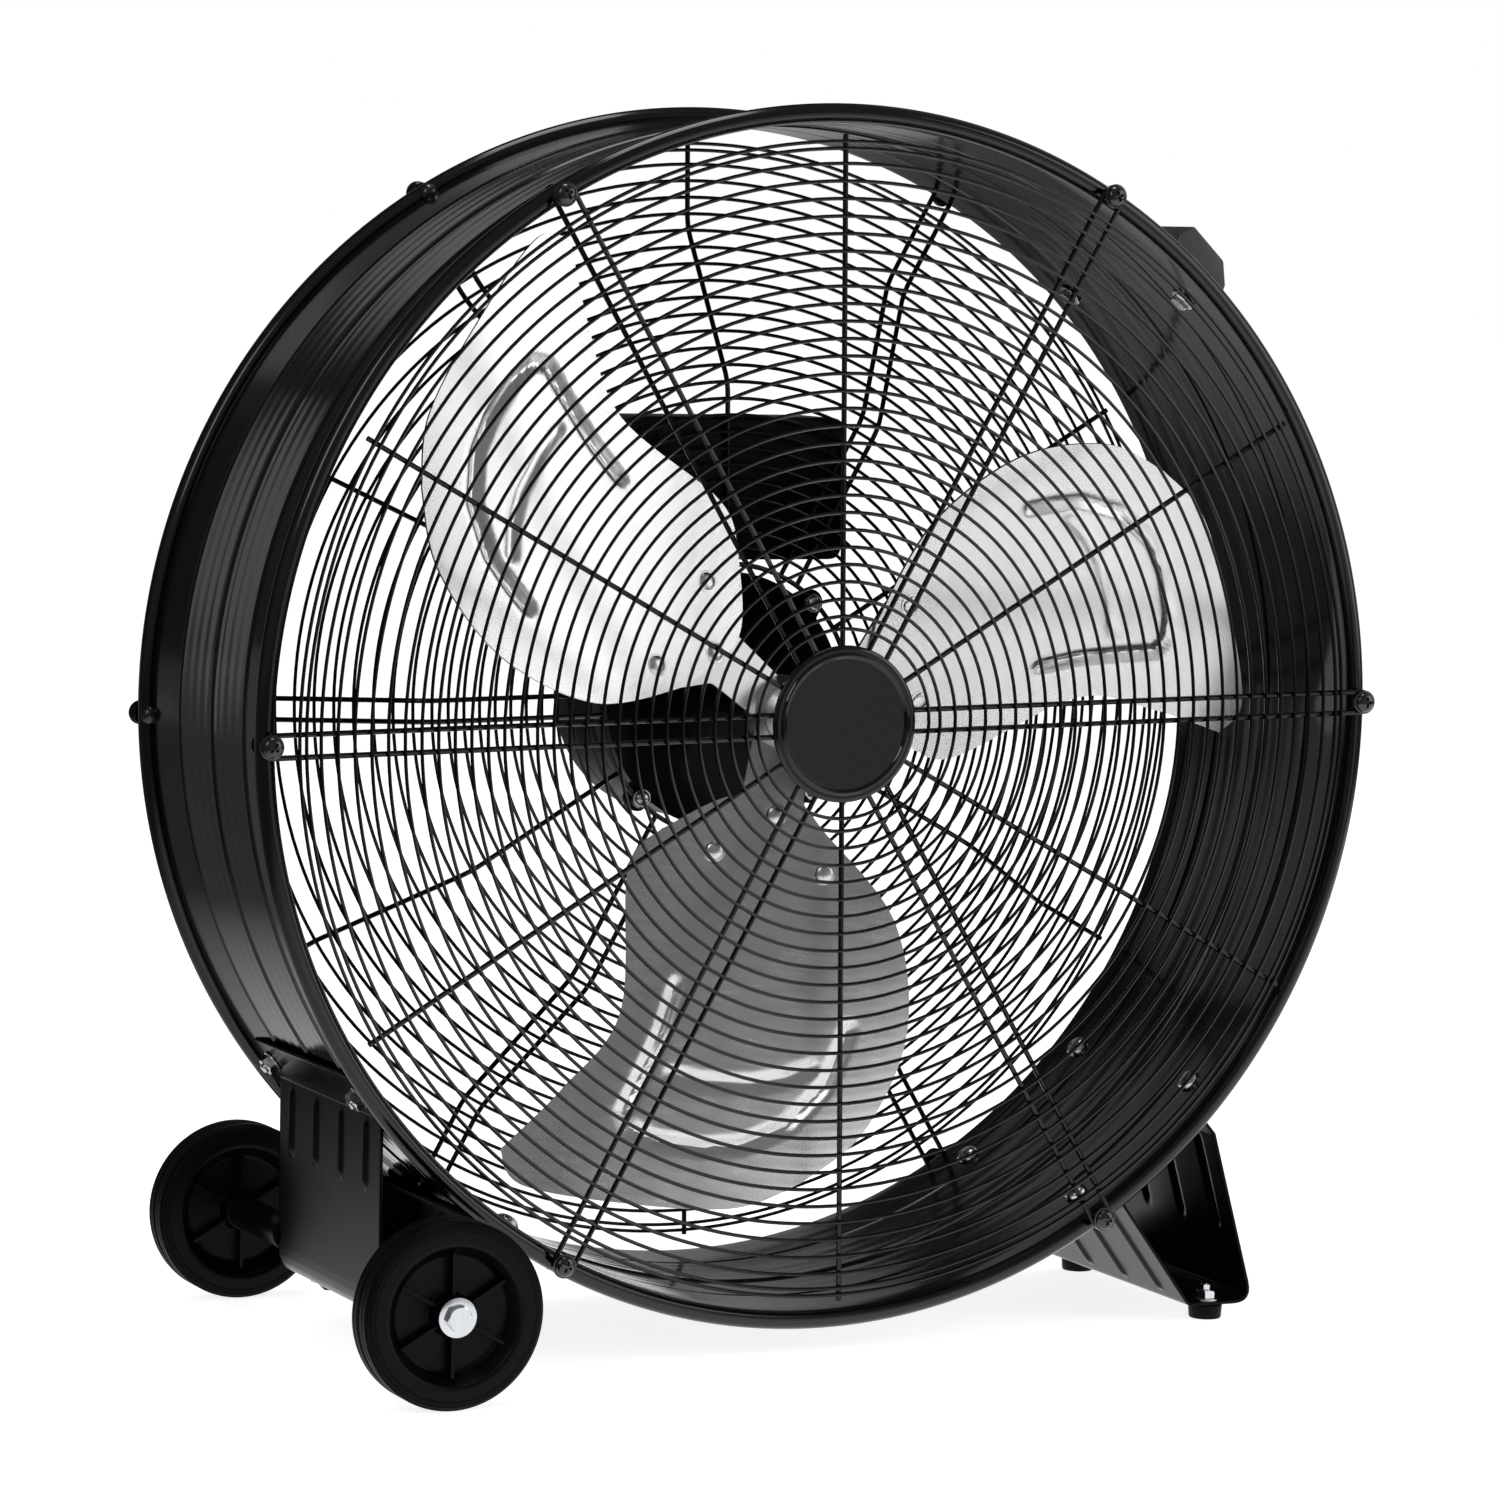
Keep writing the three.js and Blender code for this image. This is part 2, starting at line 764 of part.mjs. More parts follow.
function bladeSkin(edges) {
  const list = [];
  const at = (row, column, side) => patchCorner(edges, row, column, side * bladeThickness / 2);
  for (let r = 0; r < bladeRows; r += 1) {
    for (let c = 0; c < bladeColumns; c += 1) {
      quad(list, at(r, c, 1), at(r + 1, c, 1), at(r + 1, c + 1, 1), at(r, c + 1, 1));
      quad(list, at(r, c, -1), at(r, c + 1, -1), at(r + 1, c + 1, -1), at(r + 1, c, -1));
    }
    quad(list, at(r, 0, -1), at(r + 1, 0, -1), at(r + 1, 0, 1), at(r, 0, 1));
    const k = bladeColumns;
    quad(list, at(r, k, 1), at(r + 1, k, 1), at(r + 1, k, -1), at(r, k, -1));
  }
  for (let c = 0; c < bladeColumns; c += 1) {
    quad(list, at(0, c, 1), at(0, c + 1, 1), at(0, c + 1, -1), at(0, c, -1));
    const k = bladeRows;
    quad(list, at(k, c, -1), at(k, c + 1, -1), at(k, c + 1, 1), at(k, c, 1));
  }
  return list;
}

function atRivet(solid, point) {
  const tilt = THREE.MathUtils.radToDeg(Math.atan(bladePitch));
  return solid.rotate([tilt, 0, 0]).translate([point.y, bladeHeight(point.x, point.y), point.x]);
}

function blade(index) {
  const geometry = new THREE.BufferGeometry();
  const list = new Float32Array(bladeSkin(bladeEdges()));
  geometry.setAttribute('position', new THREE.BufferAttribute(list, 3));
  let solid = toSolid(geometry);
  for (const point of rivetPoints) {
    const drill = rod(rivetRadius + holeGap, -cutMargin, cutMargin, rivetSides);
    solid = solid.subtract(atRivet(drill, point));
  }
  return aroundAxis(solid, bladeAngle - index * 360 / bladeCount);
}

function armOutline() {
  return [
    [-armNeck, armRoot], [-armHalf, armShoulder], [-armHalf, armTop - armNotchHalf],
    [-armHalf / 2, armTop], [-armNotchHalf, armNotch], [armNotchHalf, armNotch],
    [armHalf / 2, armTop], [armHalf, armTop], [armHalf, armShoulder], [armNeck, armRoot],
  ];
}

function rivet(point) {
  const seat = bladeThickness / 2 + gap;
  const profile = [
    [0, -seat - rivetHeadRise],
    [rivetHeadRadius / 2, -seat - rivetHeadRise],
    [rivetHeadRadius, -seat],
    [rivetRadius, -seat],
    [rivetRadius, seat + armThickness],
    [0, seat + armThickness],
  ];
  return atRivet(revolve(profile, rivetSides), point);
}

function spiderArm() {
  const back = bladeThickness / 2 + 3 * gap;
  const geometry = extrude(shapeOf(armOutline()), armThickness);
  const position = geometry.attributes.position;
  for (let i = 0; i < position.count; i += 1) {
    const [u, v, w] = [position.getX(i), position.getY(i), position.getZ(i)];
    const plane = bladeY - bladeConing * (v - bladeRootHeight) - u * bladePitch;
    position.setXYZ(i, v, plane + back + w, u);
  }
  return joinAll([toSolid(geometry), ...rivetPoints.map(rivet)]);
}

function bladeSpider() {
  const arms = [];
  for (let i = 0; i < bladeCount; i += 1) {
    arms.push(turned(spiderArm(), bladeAngle - i * 360 / bladeCount));
  }
  const hub = rod(hubRadius, hubFrontY, hubRearY, shaftSides);
  const bore = rod(shaftRadius + gap, hubFrontY - cutMargin, hubRearY + cutMargin, shaftSides);
  return joinAll([hub, ...arms]).subtract(bore).translate([0, 0, drumAxisZ]);
}

// ---- motor, stacked towards the rear from the dished guard -------------------
const plateY = rearDishY + wire / 2 + gap + gap;
const flangeY = plateY + motorPlateThickness + gap;
const canY = flangeY + frontBellDepth + gap;
const rearBellY = canY + canLength + gap;
const motorEndY = rearBellY + rearBellDepth;
const frontBearingY = flangeY + flangeThickness;
const rearBearingY = motorEndY - motorWall - gap - bearingLength;

function motorEars(y0, y1) {
  return ringOfFour(() => eye(motorEarRadius, motorScrewRadius, y0, y1));
}

function motorPlate() {
  const plate = revolve([
    [motorPlateBore, plateY], [motorPlateRadius, plateY],
    [motorPlateRadius, plateY + motorPlateThickness], [motorPlateBore, plateY + motorPlateThickness],
  ], motorSides);
  const ears = motorEars(plateY, plateY + motorPlateThickness);
  const holes = motorScrewHoles(plateY - cutMargin, flangeY + cutMargin);
  return withDrum(plate.add(ears).subtract(holes));
}

function frontBell() {
  const seat = bearingRadius + gap;
  const floor = flangeY + flangeThickness;
  const bell = revolve([
    [seat, flangeY], [motorRadius, flangeY], [motorRadius, flangeY + frontBellDepth],
    [motorRadius - motorWall, flangeY + frontBellDepth],
    [motorRadius - motorWall, floor + motorWall], [seat + motorWall, floor + motorWall],
    [seat + motorWall, frontBearingY + bearingLength], [seat, frontBearingY + bearingLength],
  ], motorSides);
  const holes = motorScrewHoles(flangeY - cutMargin, floor + cutMargin);
  return withDrum(bell.add(motorEars(flangeY, floor)).subtract(holes));
}

function motorCan() {
  const bore = rotorRadius + rotorGap;
  return withDrum(revolve([
    [bore, canY], [motorRadius, canY], [motorRadius, canY + canLength], [bore, canY + canLength],
  ], motorSides));
}

function rearBell() {
  const seat = bearingRadius + gap;
  const floor = motorEndY - motorWall;
  return withDrum(revolve([
    [0, motorEndY], [motorRadius - bellChamfer, motorEndY],
    [motorRadius, motorEndY - bellChamfer], [motorRadius, rearBellY],
    [motorRadius - motorWall, rearBellY], [motorRadius - motorWall, floor - bellChamfer],
    [motorRadius - motorWall - bellChamfer, floor], [seat + motorWall, floor],
    [seat + motorWall, rearBearingY], [seat, rearBearingY], [seat, floor], [0, floor],
  ], motorSides));
}

function bearing(y) {
  const bore = shaftRadius + runGap;
  return withDrum(revolve([
    [bore, y], [bearingRadius, y], [bearingRadius, y + bearingLength], [bore, y + bearingLength],
  ], motorSides));
}

function motorShaft() {
  const rotorY = canY + canLength / 2;
  return aroundAxis(revolve([
    [0, shaftFrontY], [shaftRadius - shaftChamfer, shaftFrontY],
    [shaftRadius, shaftFrontY + shaftChamfer], [shaftRadius, rotorY - rotorHalf],
    [rotorRadius, rotorY - rotorHalf], [rotorRadius, rotorY + rotorHalf],
    [shaftRadius, rotorY + rotorHalf], [shaftRadius, rearBearingY + bearingLength],
    [0, rearBearingY + bearingLength],
  ], shaftSides));
}

function motorScrew(index) {
  const seat = rearDishY - wire / 2 - gap;
  const nutSeat = flangeY + flangeThickness + gap;
  const screw = revolve([
    [0, seat - boltHeadRise], [boltHead / 2, seat - boltHeadRise], [boltHead, seat],
    [boltShank, seat], [boltShank, nutSeat], [boltNut, nutSeat],
    [boltNut, nutSeat + boltEnd], [0, nutSeat + boltEnd],
  ], motorBoltSides);
  return withDrum(screw.translate([motorScrewRadius, 0, 0]), motorScrewTurn(index));
}

// ---- switch box -------------------------------------------------------------
function roundedOutline(x0, x1, z0, z1, radius) {
  const corners = [[x0, z0], [x1, z0], [x1, z1], [x0, z1]];
  return corners.flatMap((corner, i) => (
    roundCorner(corners[(i + 3) % 4], corner, corners[(i + 1) % 4], radius)));
}

const lidY = rearDishY + wire / 2 + gap + gap;
const boxFrontY = lidY + lidThickness + gap;
const boxMiddleZ = (boxBottom + boxTop) / 2;

function switchBox() {
  const outer = extrudeAlongY(
    roundedOutline(boxLeft, boxRight, boxBottom, boxTop, boxCorner), boxFrontY, boxRearY);
  const inner = extrudeAlongY(
    roundedOutline(boxLeft + boxWall, boxRight - boxWall, boxBottom + boxWall, boxTop - boxWall,
      boxCorner - boxWall), boxFrontY - cutMargin, boxRearY - boxWall);
  const knobHole = rod(knobStem + holeGap, boxRearY - cutMargin, boxRearY + cutMargin, shaftSides);
  const glandDrill = rod(glandStem + holeGap, boxRight - cutMargin, boxRight + cutMargin, shaftSides);
  const glandHole = outwardX(glandDrill);
  return outer.subtract(inner)
    .subtract(knobHole.translate([knobX, 0, boxMiddleZ]))
    .subtract(glandHole.translate([0, glandY, glandZ]));
}

function switchBoxLid() {
  const plate = extrudeAlongY(
    roundedOutline(boxLeft, boxRight, boxBottom, boxTop, boxCorner), lidY, lidY + lidThickness);
  const xs = [boxLeft + lidScrewInset, boxRight - lidScrewInset];
  const zs = [boxBottom + lidScrewInset, boxTop - lidScrewInset];
  const rear = lidY + lidThickness;
  const heads = xs.flatMap((x) => zs.map((z) => (
    rod(lidScrewRadius, rear - lidThickness / 2, rear + lidScrewRise, screwSides).translate([x, 0, z]))));
  return joinAll([plate, ...heads]);
}

function speedKnob() {
  const seat = boxRearY + gap;
  const knob = revolve([
    [0, boxRearY - boxWall - stemReach], [knobStem, boxRearY - boxWall - stemReach], [knobStem, seat],
    [knobRadius, seat], [knobTopRadius, seat + knobLength], [0, seat + knobLength],
  ], shaftSides);
  const pointer = box(-knobPointerWidth / 2, knobPointerWidth / 2, seat + knobLength / 2,
    seat + knobLength + knobPointerRise, 0, knobPointerReach);
  return knob.add(pointer).translate([knobX, 0, boxMiddleZ]);
}

function cordGland() {
  const seat = boxRight + gap;
  const gland = revolve([
    [glandBore, boxRight - boxWall - stemReach], [glandStem, boxRight - boxWall - stemReach],
    [glandStem, seat],
    [glandRadius, seat], [glandRadius, seat + glandLength / 2],
    [glandStem, seat + glandLength], [glandBore, seat + glandLength],
  ], shaftSides);
  return outwardX(gland).translate([0, glandY, glandZ]);
}

// ---- handle: the side profile runs in Y and in radius -------------------------
function handleOutline() {
  const right = [
    [handleTopHalf, handleTopRadius], [handleShoulderY, handleShoulderRadius],
    [handleHeelY, handleHeelRadius], [handleHalf, innerWallRadius],
    [handleInnerFoot, innerWallRadius], [handleInnerShoulder, handleInnerShoulderRadius],
    [handleInnerHalf, handleInnerRadius],
  ];
  const left = right.map(([y, r]) => [-y, r]).reverse();
  return [...right, ...left];
}

// width profile of the grip: a block with its two outer edges taken off
function gripSection() {
  const half = handleWidth / 2;
  const low = innerWallRadius - cutMargin;
  return [
    [low, -half], [handleTopRadius - handleChamferDepth, -half],
    [handleTopRadius + cutMargin, -half + handleChamferWidth],
    [handleTopRadius + cutMargin, half - handleChamferWidth],
    [handleTopRadius - handleChamferDepth, half], [low, half],
  ];
}

function handleGrip() {
  const geometry = extrude(shapeOf(handleOutline()), handleWidth);
  geometry.translate(0, 0, -handleWidth / 2);
  const turn = new THREE.Matrix4().makeBasis(
    new THREE.Vector3(0, 1, 0), new THREE.Vector3(1, 0, 0), new THREE.Vector3(0, 0, -1));
  geometry.applyMatrix4(turn);
  const section = extrudeAlongY(gripSection(), -handleHalf - cutMargin, handleHalf + cutMargin);
  const grip = aroundAxis(toSolid(geometry).intersect(section), handleAngle);
  return grip.subtract(drumEnvelope())
    .subtract(radialHole(handleAngle, -handleBoltY))
    .subtract(radialHole(handleAngle, handleBoltY));
}

function headProfile(seat) {
  return [[0, seat - boltHeadRise], [boltHead / 2, seat - boltHeadRise], [boltHead, seat]];
}

function handleBolt(y) {
  const seat = innerWallRadius - gap;
  const bolt = revolve([
    ...headProfile(seat), [boltShank, seat], [boltShank, handleBoltEnd], [0, handleBoltEnd],
  ], boltSides);
  return aroundAxis(outwardX(bolt).translate([0, y, 0]), handleAngle);
}

function bracketBolt([degrees, y]) {
  const seat = innerWallRadius - gap;
  const nutSeat = flangeMidRadius + sheet / 2 + gap;
  const bolt = revolve([
    ...headProfile(seat), [boltShank, seat], [boltShank, nutSeat], [boltNut, nutSeat],
    [boltNut, nutSeat + boltNutHeight], [boltShank, nutSeat + boltNutHeight],
    [boltShank, nutSeat + boltNutHeight + boltEnd], [0, nutSeat + boltNutHeight + boltEnd],
  ], boltSides);
  return aroundAxis(outwardX(bolt).translate([0, y, 0]), degrees);
}

// ---- brackets ---------------------------------------------------------------
function onWall(degrees) {
  const [x, z] = polar(flangeMidRadius, degrees);
  return [x, drumAxisZ + z];
}

function flange(start, end) {
  return [onWall(end), onWall((start + end) / 2), onWall(start)];
}

function channelLine(outerFlange, outerFoot, outerBend, innerFoot, innerFlange) {
  const down = outerFlange[outerFlange.length - 1];
  const up = innerFlange[0];
  return [
    ...outerFlange,
    ...roundCorner(down, outerFoot, innerFoot, outerBend),
    ...roundCorner(outerFoot, innerFoot, up, innerBendRadius),
    ...innerFlange,
  ];
}

function bracket(line, half, places) {
  let solid = extrudeAlongY(foldedSheet(line, sheet), -half, half).subtract(drumEnvelope());
  for (const [degrees, y] of places) solid = solid.subtract(radialHole(degrees, y));
  return solid;
}

function wheelBracket() {
  const line = channelLine(
    flange(wheelOuterFlangeStart, wheelOuterFlangeEnd),
    [wheelPanelX, wheelBaseZ], wheelBendRadius, [wheelInnerFootX, wheelBaseZ],
    flange(wheelInnerFlangeStart, wheelInnerFlangeEnd).reverse());
  let solid = bracket(line, wheelBracketHalf, boltPlaces().wheel);
  for (const y of [-clampScrewY, clampScrewY]) {
    const drill = uprightZ(rod(boltShank + holeGap, 0, axleZ, clampScrewSides));
    solid = solid.subtract(drill.translate([clampX, y, 0]));
  }
  return solid;
}

function footBracket() {
  const line = channelLine(
    flange(footOuterFlangeStart, footOuterFlangeEnd),
    [footOuterX, footBaseZ], footBendRadius, [footInnerX, footBaseZ],
    flange(footInnerFlangeStart, footInnerFlangeEnd).reverse());
  let solid = bracket(line, footBracketHalf, boltPlaces().foot);
  for (const y of [-footY, footY]) {
    const drill = uprightZ(rod(boltShank + holeGap, 0, footBoltTop, boltSides));
    solid = solid.subtract(drill.translate([footX, y, 0]));
  }
  return solid;
}

function foot(y) {
  const pad = revolve([
    [0, 0], [footBottomRadius, 0], [footTopRadius, footHeight], [boltShank + holeGap, footHeight],
    [boltShank + holeGap, footStudFloor], [0, footStudFloor],
  ], footSides);
  return uprightZ(pad).translate([footX, y, 0]);
}

function footBolt(y) {
  const seat = footBaseZ + sheet / 2 + gap;
  const washer = seat + footWasherHeight;
  const bolt = revolve([
    [0, footStudFloor + gap], [boltShank, footStudFloor + gap], [boltShank, seat],
    [footWasher, seat], [footWasher, washer], [boltNut, washer],
    [boltNut, washer + footNutHeight], [boltShank, washer + footNutHeight],
    [boltShank, footBoltTop], [0, footBoltTop],
  ], boltSides);
  return uprightZ(bolt).translate([footX, y, 0]);
}

// ---- wheels and axle ----------------------------------------------------------
function atAxle(solid, y = 0) {
  return solid.translate([axleX, y, axleZ]);
}

function axle() {
  const half = [
    [axleRod, wheelBracketHalf + gap], [sleeveRadius, wheelBracketHalf + gap],
    [sleeveRadius, wheelY - wheelHalf - gap], [axleStub, wheelY - wheelHalf - gap],
    [axleStub, wheelY + wheelHalf], [axleBore + gap, wheelY + wheelHalf],
    [axleBore + gap, axleBoreStart], [0, axleBoreStart],
  ];
  return atAxle(revolve([...mirrorProfile(half), ...half], axleSides));
}

function axleClamp() {
  const floor = wheelBaseZ + sheet / 2 + gap;
  const jaw = box(clampLeft, clampRight, -clampHalfY, clampHalfY, clampShoulderZ, clampHeight);
  const base = box(clampFootLeft, clampRight, -clampHalfY, clampHalfY, floor, clampShoulderZ + clampBite);
  const under = wheelBaseZ - sheet / 2 - gap;
  const screw = revolve([
    [0, under - clampScrewRise], [clampScrewHead / 2, under - clampScrewRise],
    [clampScrewHead, under], [boltShank, under], [boltShank, floor + cutMargin], [0, floor + cutMargin],
  ], clampScrewSides);
  const screws = [-clampScrewY, clampScrewY].map((y) => uprightZ(screw).translate([clampX, y, 0]));
  const bore = rod(axleRod + gap, -clampHalfY - cutMargin, clampHalfY + cutMargin, axleSides);
  return joinAll([jaw.add(base).subtract(atAxle(bore)), ...screws]);
}

function wheelProfile() {
  const lip = wheelRimInner + wheelRimSlope;
  const bore = axleStub + holeGap;
  const half = [
    [bore, wheelHubHalf], [wheelHubRadius, wheelHubHalf], [wheelHubRadius, wheelWebHalf],
    [wheelRimInner, wheelWebHalf], [lip, wheelHalf], [tyreInner - gap, wheelHalf],
  ];
  return [...half, ...mirrorProfile(half)];
}

function wheelRib(index) {
  const rib = box(wheelHubRadius - wheelRibBite, wheelRimInner + wheelRibBite,
    -wheelRibHalfWidth, wheelRibHalfWidth,
    -wheelRibHalf, wheelRibHalf);
  return turned(rib, 90 + index * 360 / wheelRibs);
}

function wheel(y) {
  const ribs = Array.from({ length: wheelRibs }, (_, i) => wheelRib(i));
  return atAxle(joinAll([revolve(wheelProfile(), wheelSides), ...ribs]), y);
}

function tyre(y) {
  const half = [
    [tyreInner, tyreHalf], [tyreRadius - tyreChamfer, tyreHalf],
    [tyreRadius, tyreHalf - tyreChamfer], [tyreRadius, treadGrooveHalf],
    [tyreRadius - treadGroove, 0],
  ];
  const rear = half.slice(0, -1);
  return atAxle(revolve([...half, ...mirrorProfile(rear)], wheelSides), y);
}

function axleBolt(sign) {
  const seat = wheelY + wheelHalf + gap;
  const washer = seat + axleBoltWasherHeight;
  const hex = revolve([
    [0, axleBoreStart + gap], [axleBore, axleBoreStart + gap], [axleBore, washer],
    [axleBoltHex, washer], [axleBoltHex, axleBoltTop], [0, axleBoltTop],
  ], boltSides);
  const bolt = hex.add(rod(axleBoltWasher, seat, washer, axleSides));
  return atAxle(sign > 0 ? bolt : mirrorY(bolt));
}

// ---- assembly -----------------------------------------------------------------
function addDrum() {
  piece('drum_shell', drumShell(), finish.powderCoat);
  piece('front_guard', frontGuard(), finish.wireCoat);
  piece('rear_guard', rearGuard(), finish.wireCoat);
  piece('hub_cap', hubCap(), finish.glossPlastic);
  for (let i = 0; i < spokeCount; i += 1) {
    piece(`front_guard_screw_${i + 1}`, guardScrew(-1, i), finish.wireCoat);
    piece(`rear_guard_screw_${i + 1}`, guardScrew(1, i), finish.wireCoat);
  }
}

function addImpeller() {
  for (let i = 0; i < bladeCount; i += 1) piece(`blade_${i + 1}`, blade(i), finish.aluminium);
  piece('blade_spider', bladeSpider(), finish.zinc);
  piece('motor_shaft', motorShaft(), finish.steel);
}

function addMotor() {
  piece('motor_plate', motorPlate(), finish.powderCoat);
  piece('motor_front_bell', frontBell(), finish.castBlack);
  piece('motor_can', motorCan(), finish.powderCoat);
  piece('motor_rear_bell', rearBell(), finish.castBlack);
  piece('front_bearing', bearing(frontBearingY), finish.steel);
  piece('rear_bearing', bearing(rearBearingY), finish.steel);
  for (let i = 0; i < motorScrewCount; i += 1) piece(`motor_screw_${i + 1}`, motorScrew(i), finish.zinc);
}

function addSwitchBox() {
  piece('switch_box', switchBox(), finish.plastic);
  piece('switch_box_lid', switchBoxLid(), finish.plastic);
  piece('speed_knob', speedKnob(), finish.plastic);
  piece('cord_gland', cordGland(), finish.plastic);
}

function addHandle() {
  piece('handle_grip', handleGrip(), finish.plastic);
  piece('handle_bolt_front', handleBolt(-handleBoltY), finish.zinc);
  piece('handle_bolt_rear', handleBolt(handleBoltY), finish.zinc);
}

function addBrackets() {
  const places = boltPlaces();
  piece('wheel_bracket', wheelBracket(), finish.powderCoat);
  piece('foot_bracket', footBracket(), finish.powderCoat);
  places.wheel.forEach((place, i) => piece(`wheel_bracket_bolt_${i + 1}`, bracketBolt(place), finish.zinc));
  places.foot.forEach((place, i) => piece(`foot_bracket_bolt_${i + 1}`, bracketBolt(place), finish.zinc));
}

function addRunningGear() {
  piece('axle', axle(), finish.powderCoat);
  piece('axle_clamp', axleClamp(), finish.powderCoat);
  for (const [end, sign] of [['front', -1], ['rear', 1]]) {
    piece(`wheel_${end}`, wheel(sign * wheelY), finish.plastic);
    piece(`tyre_${end}`, tyre(sign * wheelY), finish.rubber);
    piece(`axle_bolt_${end}`, axleBolt(sign), finish.zinc);
    piece(`foot_${end}`, foot(sign * footY), finish.rubber);
    piece(`foot_bolt_${end}`, footBolt(sign * footY), finish.zinc);
  }
}

addDrum();
addImpeller();
addMotor();
addSwitchBox();
addHandle();
addBrackets();
addRunningGear();

export default part;
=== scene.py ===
"""A black 24-inch-class drum fan on wheels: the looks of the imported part."""
import math

import bmesh
import bpy
import numpy as np
from mathutils import Matrix, Vector


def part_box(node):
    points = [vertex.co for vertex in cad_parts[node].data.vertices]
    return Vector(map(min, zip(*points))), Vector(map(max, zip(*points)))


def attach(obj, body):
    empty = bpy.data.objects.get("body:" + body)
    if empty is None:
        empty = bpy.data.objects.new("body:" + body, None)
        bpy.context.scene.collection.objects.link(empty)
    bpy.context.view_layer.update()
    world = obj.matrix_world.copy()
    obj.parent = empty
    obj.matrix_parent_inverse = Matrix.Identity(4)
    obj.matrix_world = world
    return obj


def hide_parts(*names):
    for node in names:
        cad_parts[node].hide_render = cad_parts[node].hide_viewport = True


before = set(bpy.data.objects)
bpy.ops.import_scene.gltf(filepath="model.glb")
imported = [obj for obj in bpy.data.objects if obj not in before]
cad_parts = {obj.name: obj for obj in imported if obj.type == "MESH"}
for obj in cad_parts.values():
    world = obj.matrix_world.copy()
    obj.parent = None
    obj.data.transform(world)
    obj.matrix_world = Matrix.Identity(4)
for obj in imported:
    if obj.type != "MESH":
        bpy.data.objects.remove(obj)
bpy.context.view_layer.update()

# ---- sizes, in millimetres, in the frame of the CAD ---------------------------------
MM = 0.001
AXIS_Z = 353.2              # height of the drum's axis, which runs along Y
DRUM_TURN = 1.2             # degrees that the guards' spokes stand turned from level
WALL = 330.4                # outer radius of the rolled wall
INNER_WALL = 328.8
BOLT_SEAT = 328.4           # radius at which bolt heads rest on the wall's inner side
RIDGE_Y = 51                # where a ridge runs round the wall, near each end
GROOVE_Y = -4               # where the groove runs round it
FLARE_Y = (53.4, 87)        # where the wall starts and stops widening, near each end
FLARE_RISE = 3.5
RIM = 334.5                 # radius of the rolled beads' centres, and of the guard screws
RIM_BEAD = 5.33
DRUM_HALF = 94
WIRE = 1.5                  # radius of the spoke wire
RING_WIRE = 1.05            # radius of the finer ring wire
RING_LIFT = 2.2             # from a spoke's middle to the middle of the rings welded on it
SPOKE_Y = 103.6
SPOKE_START = 34            # radius at which the front guard's spokes start
PAST_RIM = 350              # a radius outside the hairpins, which end before it
RINGS = [52.5, 59.5] + [69 + 9.52 * k for k in range(26)] + [315.2, 319]
DISH_Y = 47.2               # where the sunk middle of the rear guard lies
DISH = (183, 271)           # radii between which its spokes slope
MOTOR_SCREW = 77            # radius at which the motor's four screws stand
SWITCH_BOX = (-60, 72, 434, 516)    # its left, right, low and high sides
LID_SCREWS = [(x, z) for x in (-50, 60) for z in (444, 506)]
HANDLE_ANGLE = 46
HANDLE_BOLT_Y = 67
FLANGE = 333.4              # mid radius of the brackets' flanges
FOOT_X, FOOT_Y = 258, 77
AXLE = (-252, 0, 50.8)      # middle of the wheels' axle
AXLE_HALF = 174.4
WHEEL_Y = 162.25
SHEET = 1.6
ENDS = (("front", -1), ("rear", 1))
FRONT, BACK = (0, -1, 0), (0, 1, 0)
UP, DOWN = (0, 0, 1), (0, 0, -1)


def round_axis(radius, degrees, y=0.0):
    """A point at a radius and an angle round the drum's axis."""
    turn = math.radians(degrees)
    return (radius * math.cos(turn), y, AXIS_Z + radius * math.sin(turn))


def outward(degrees):
    """The direction away from the drum's axis."""
    turn = math.radians(degrees)
    return (math.cos(turn), 0, math.sin(turn))


# ---- shapes: a shape is its points, in millimetres, and its faces -------------------
def joined(*shapes):
    """Several shapes as one."""
    points, faces, start = [], [], 0
    for shape_points, shape_faces in shapes:
        points.append(np.asarray(shape_points, float))
        faces += [[i + start for i in face] for face in shape_faces]
        start += len(shape_points)
    return np.concatenate(points), faces


def placed(shape, at=(0, 0, 0), toward=UP, roll=0.0):
    """The shape moved to a point, its own Z axis turned toward a direction."""
    turn = Vector(toward).to_track_quat("Z", "Y").to_matrix().to_4x4()
    move = Matrix.Translation(at) @ turn @ Matrix.Rotation(math.radians(roll), 4, "Z")
    grid = np.array(move)
    return np.asarray(shape[0], float) @ grid[:3, :3].T + grid[:3, 3], shape[1]


def rounded(outline, radius, steps=4, closed=True):
    """The outline with its corners turned into arcs, each by one radius or by its own."""
    count = len(outline)
    radii = radius if hasattr(radius, "__len__") else [radius] * count
    result = []
    for i, corner in enumerate(outline):
        here = np.array(corner, float)
        if radii[i] == 0 or not closed and i in (0, count - 1):
            result.append(here)
            continue
        before = np.array(outline[i - 1], float) - here
        after = np.array(outline[(i + 1) % count], float) - here
        near, far = np.linalg.norm(before), np.linalg.norm(after)
        cosine = float(np.dot(before, after) / (near * far))
        half = math.acos(max(-1.0, min(1.0, cosine))) / 2
        reach = min(radii[i] / max(math.tan(half), 1e-3), 0.48 * near, 0.48 * far)
        start, end = here + before / near * reach, here + after / far * reach
        for k in range(steps + 1):
            t = k / steps
            result.append((1 - t) ** 2 * start + 2 * t * (1 - t) * here + t * t * end)
    return [tuple(p) for p in result]


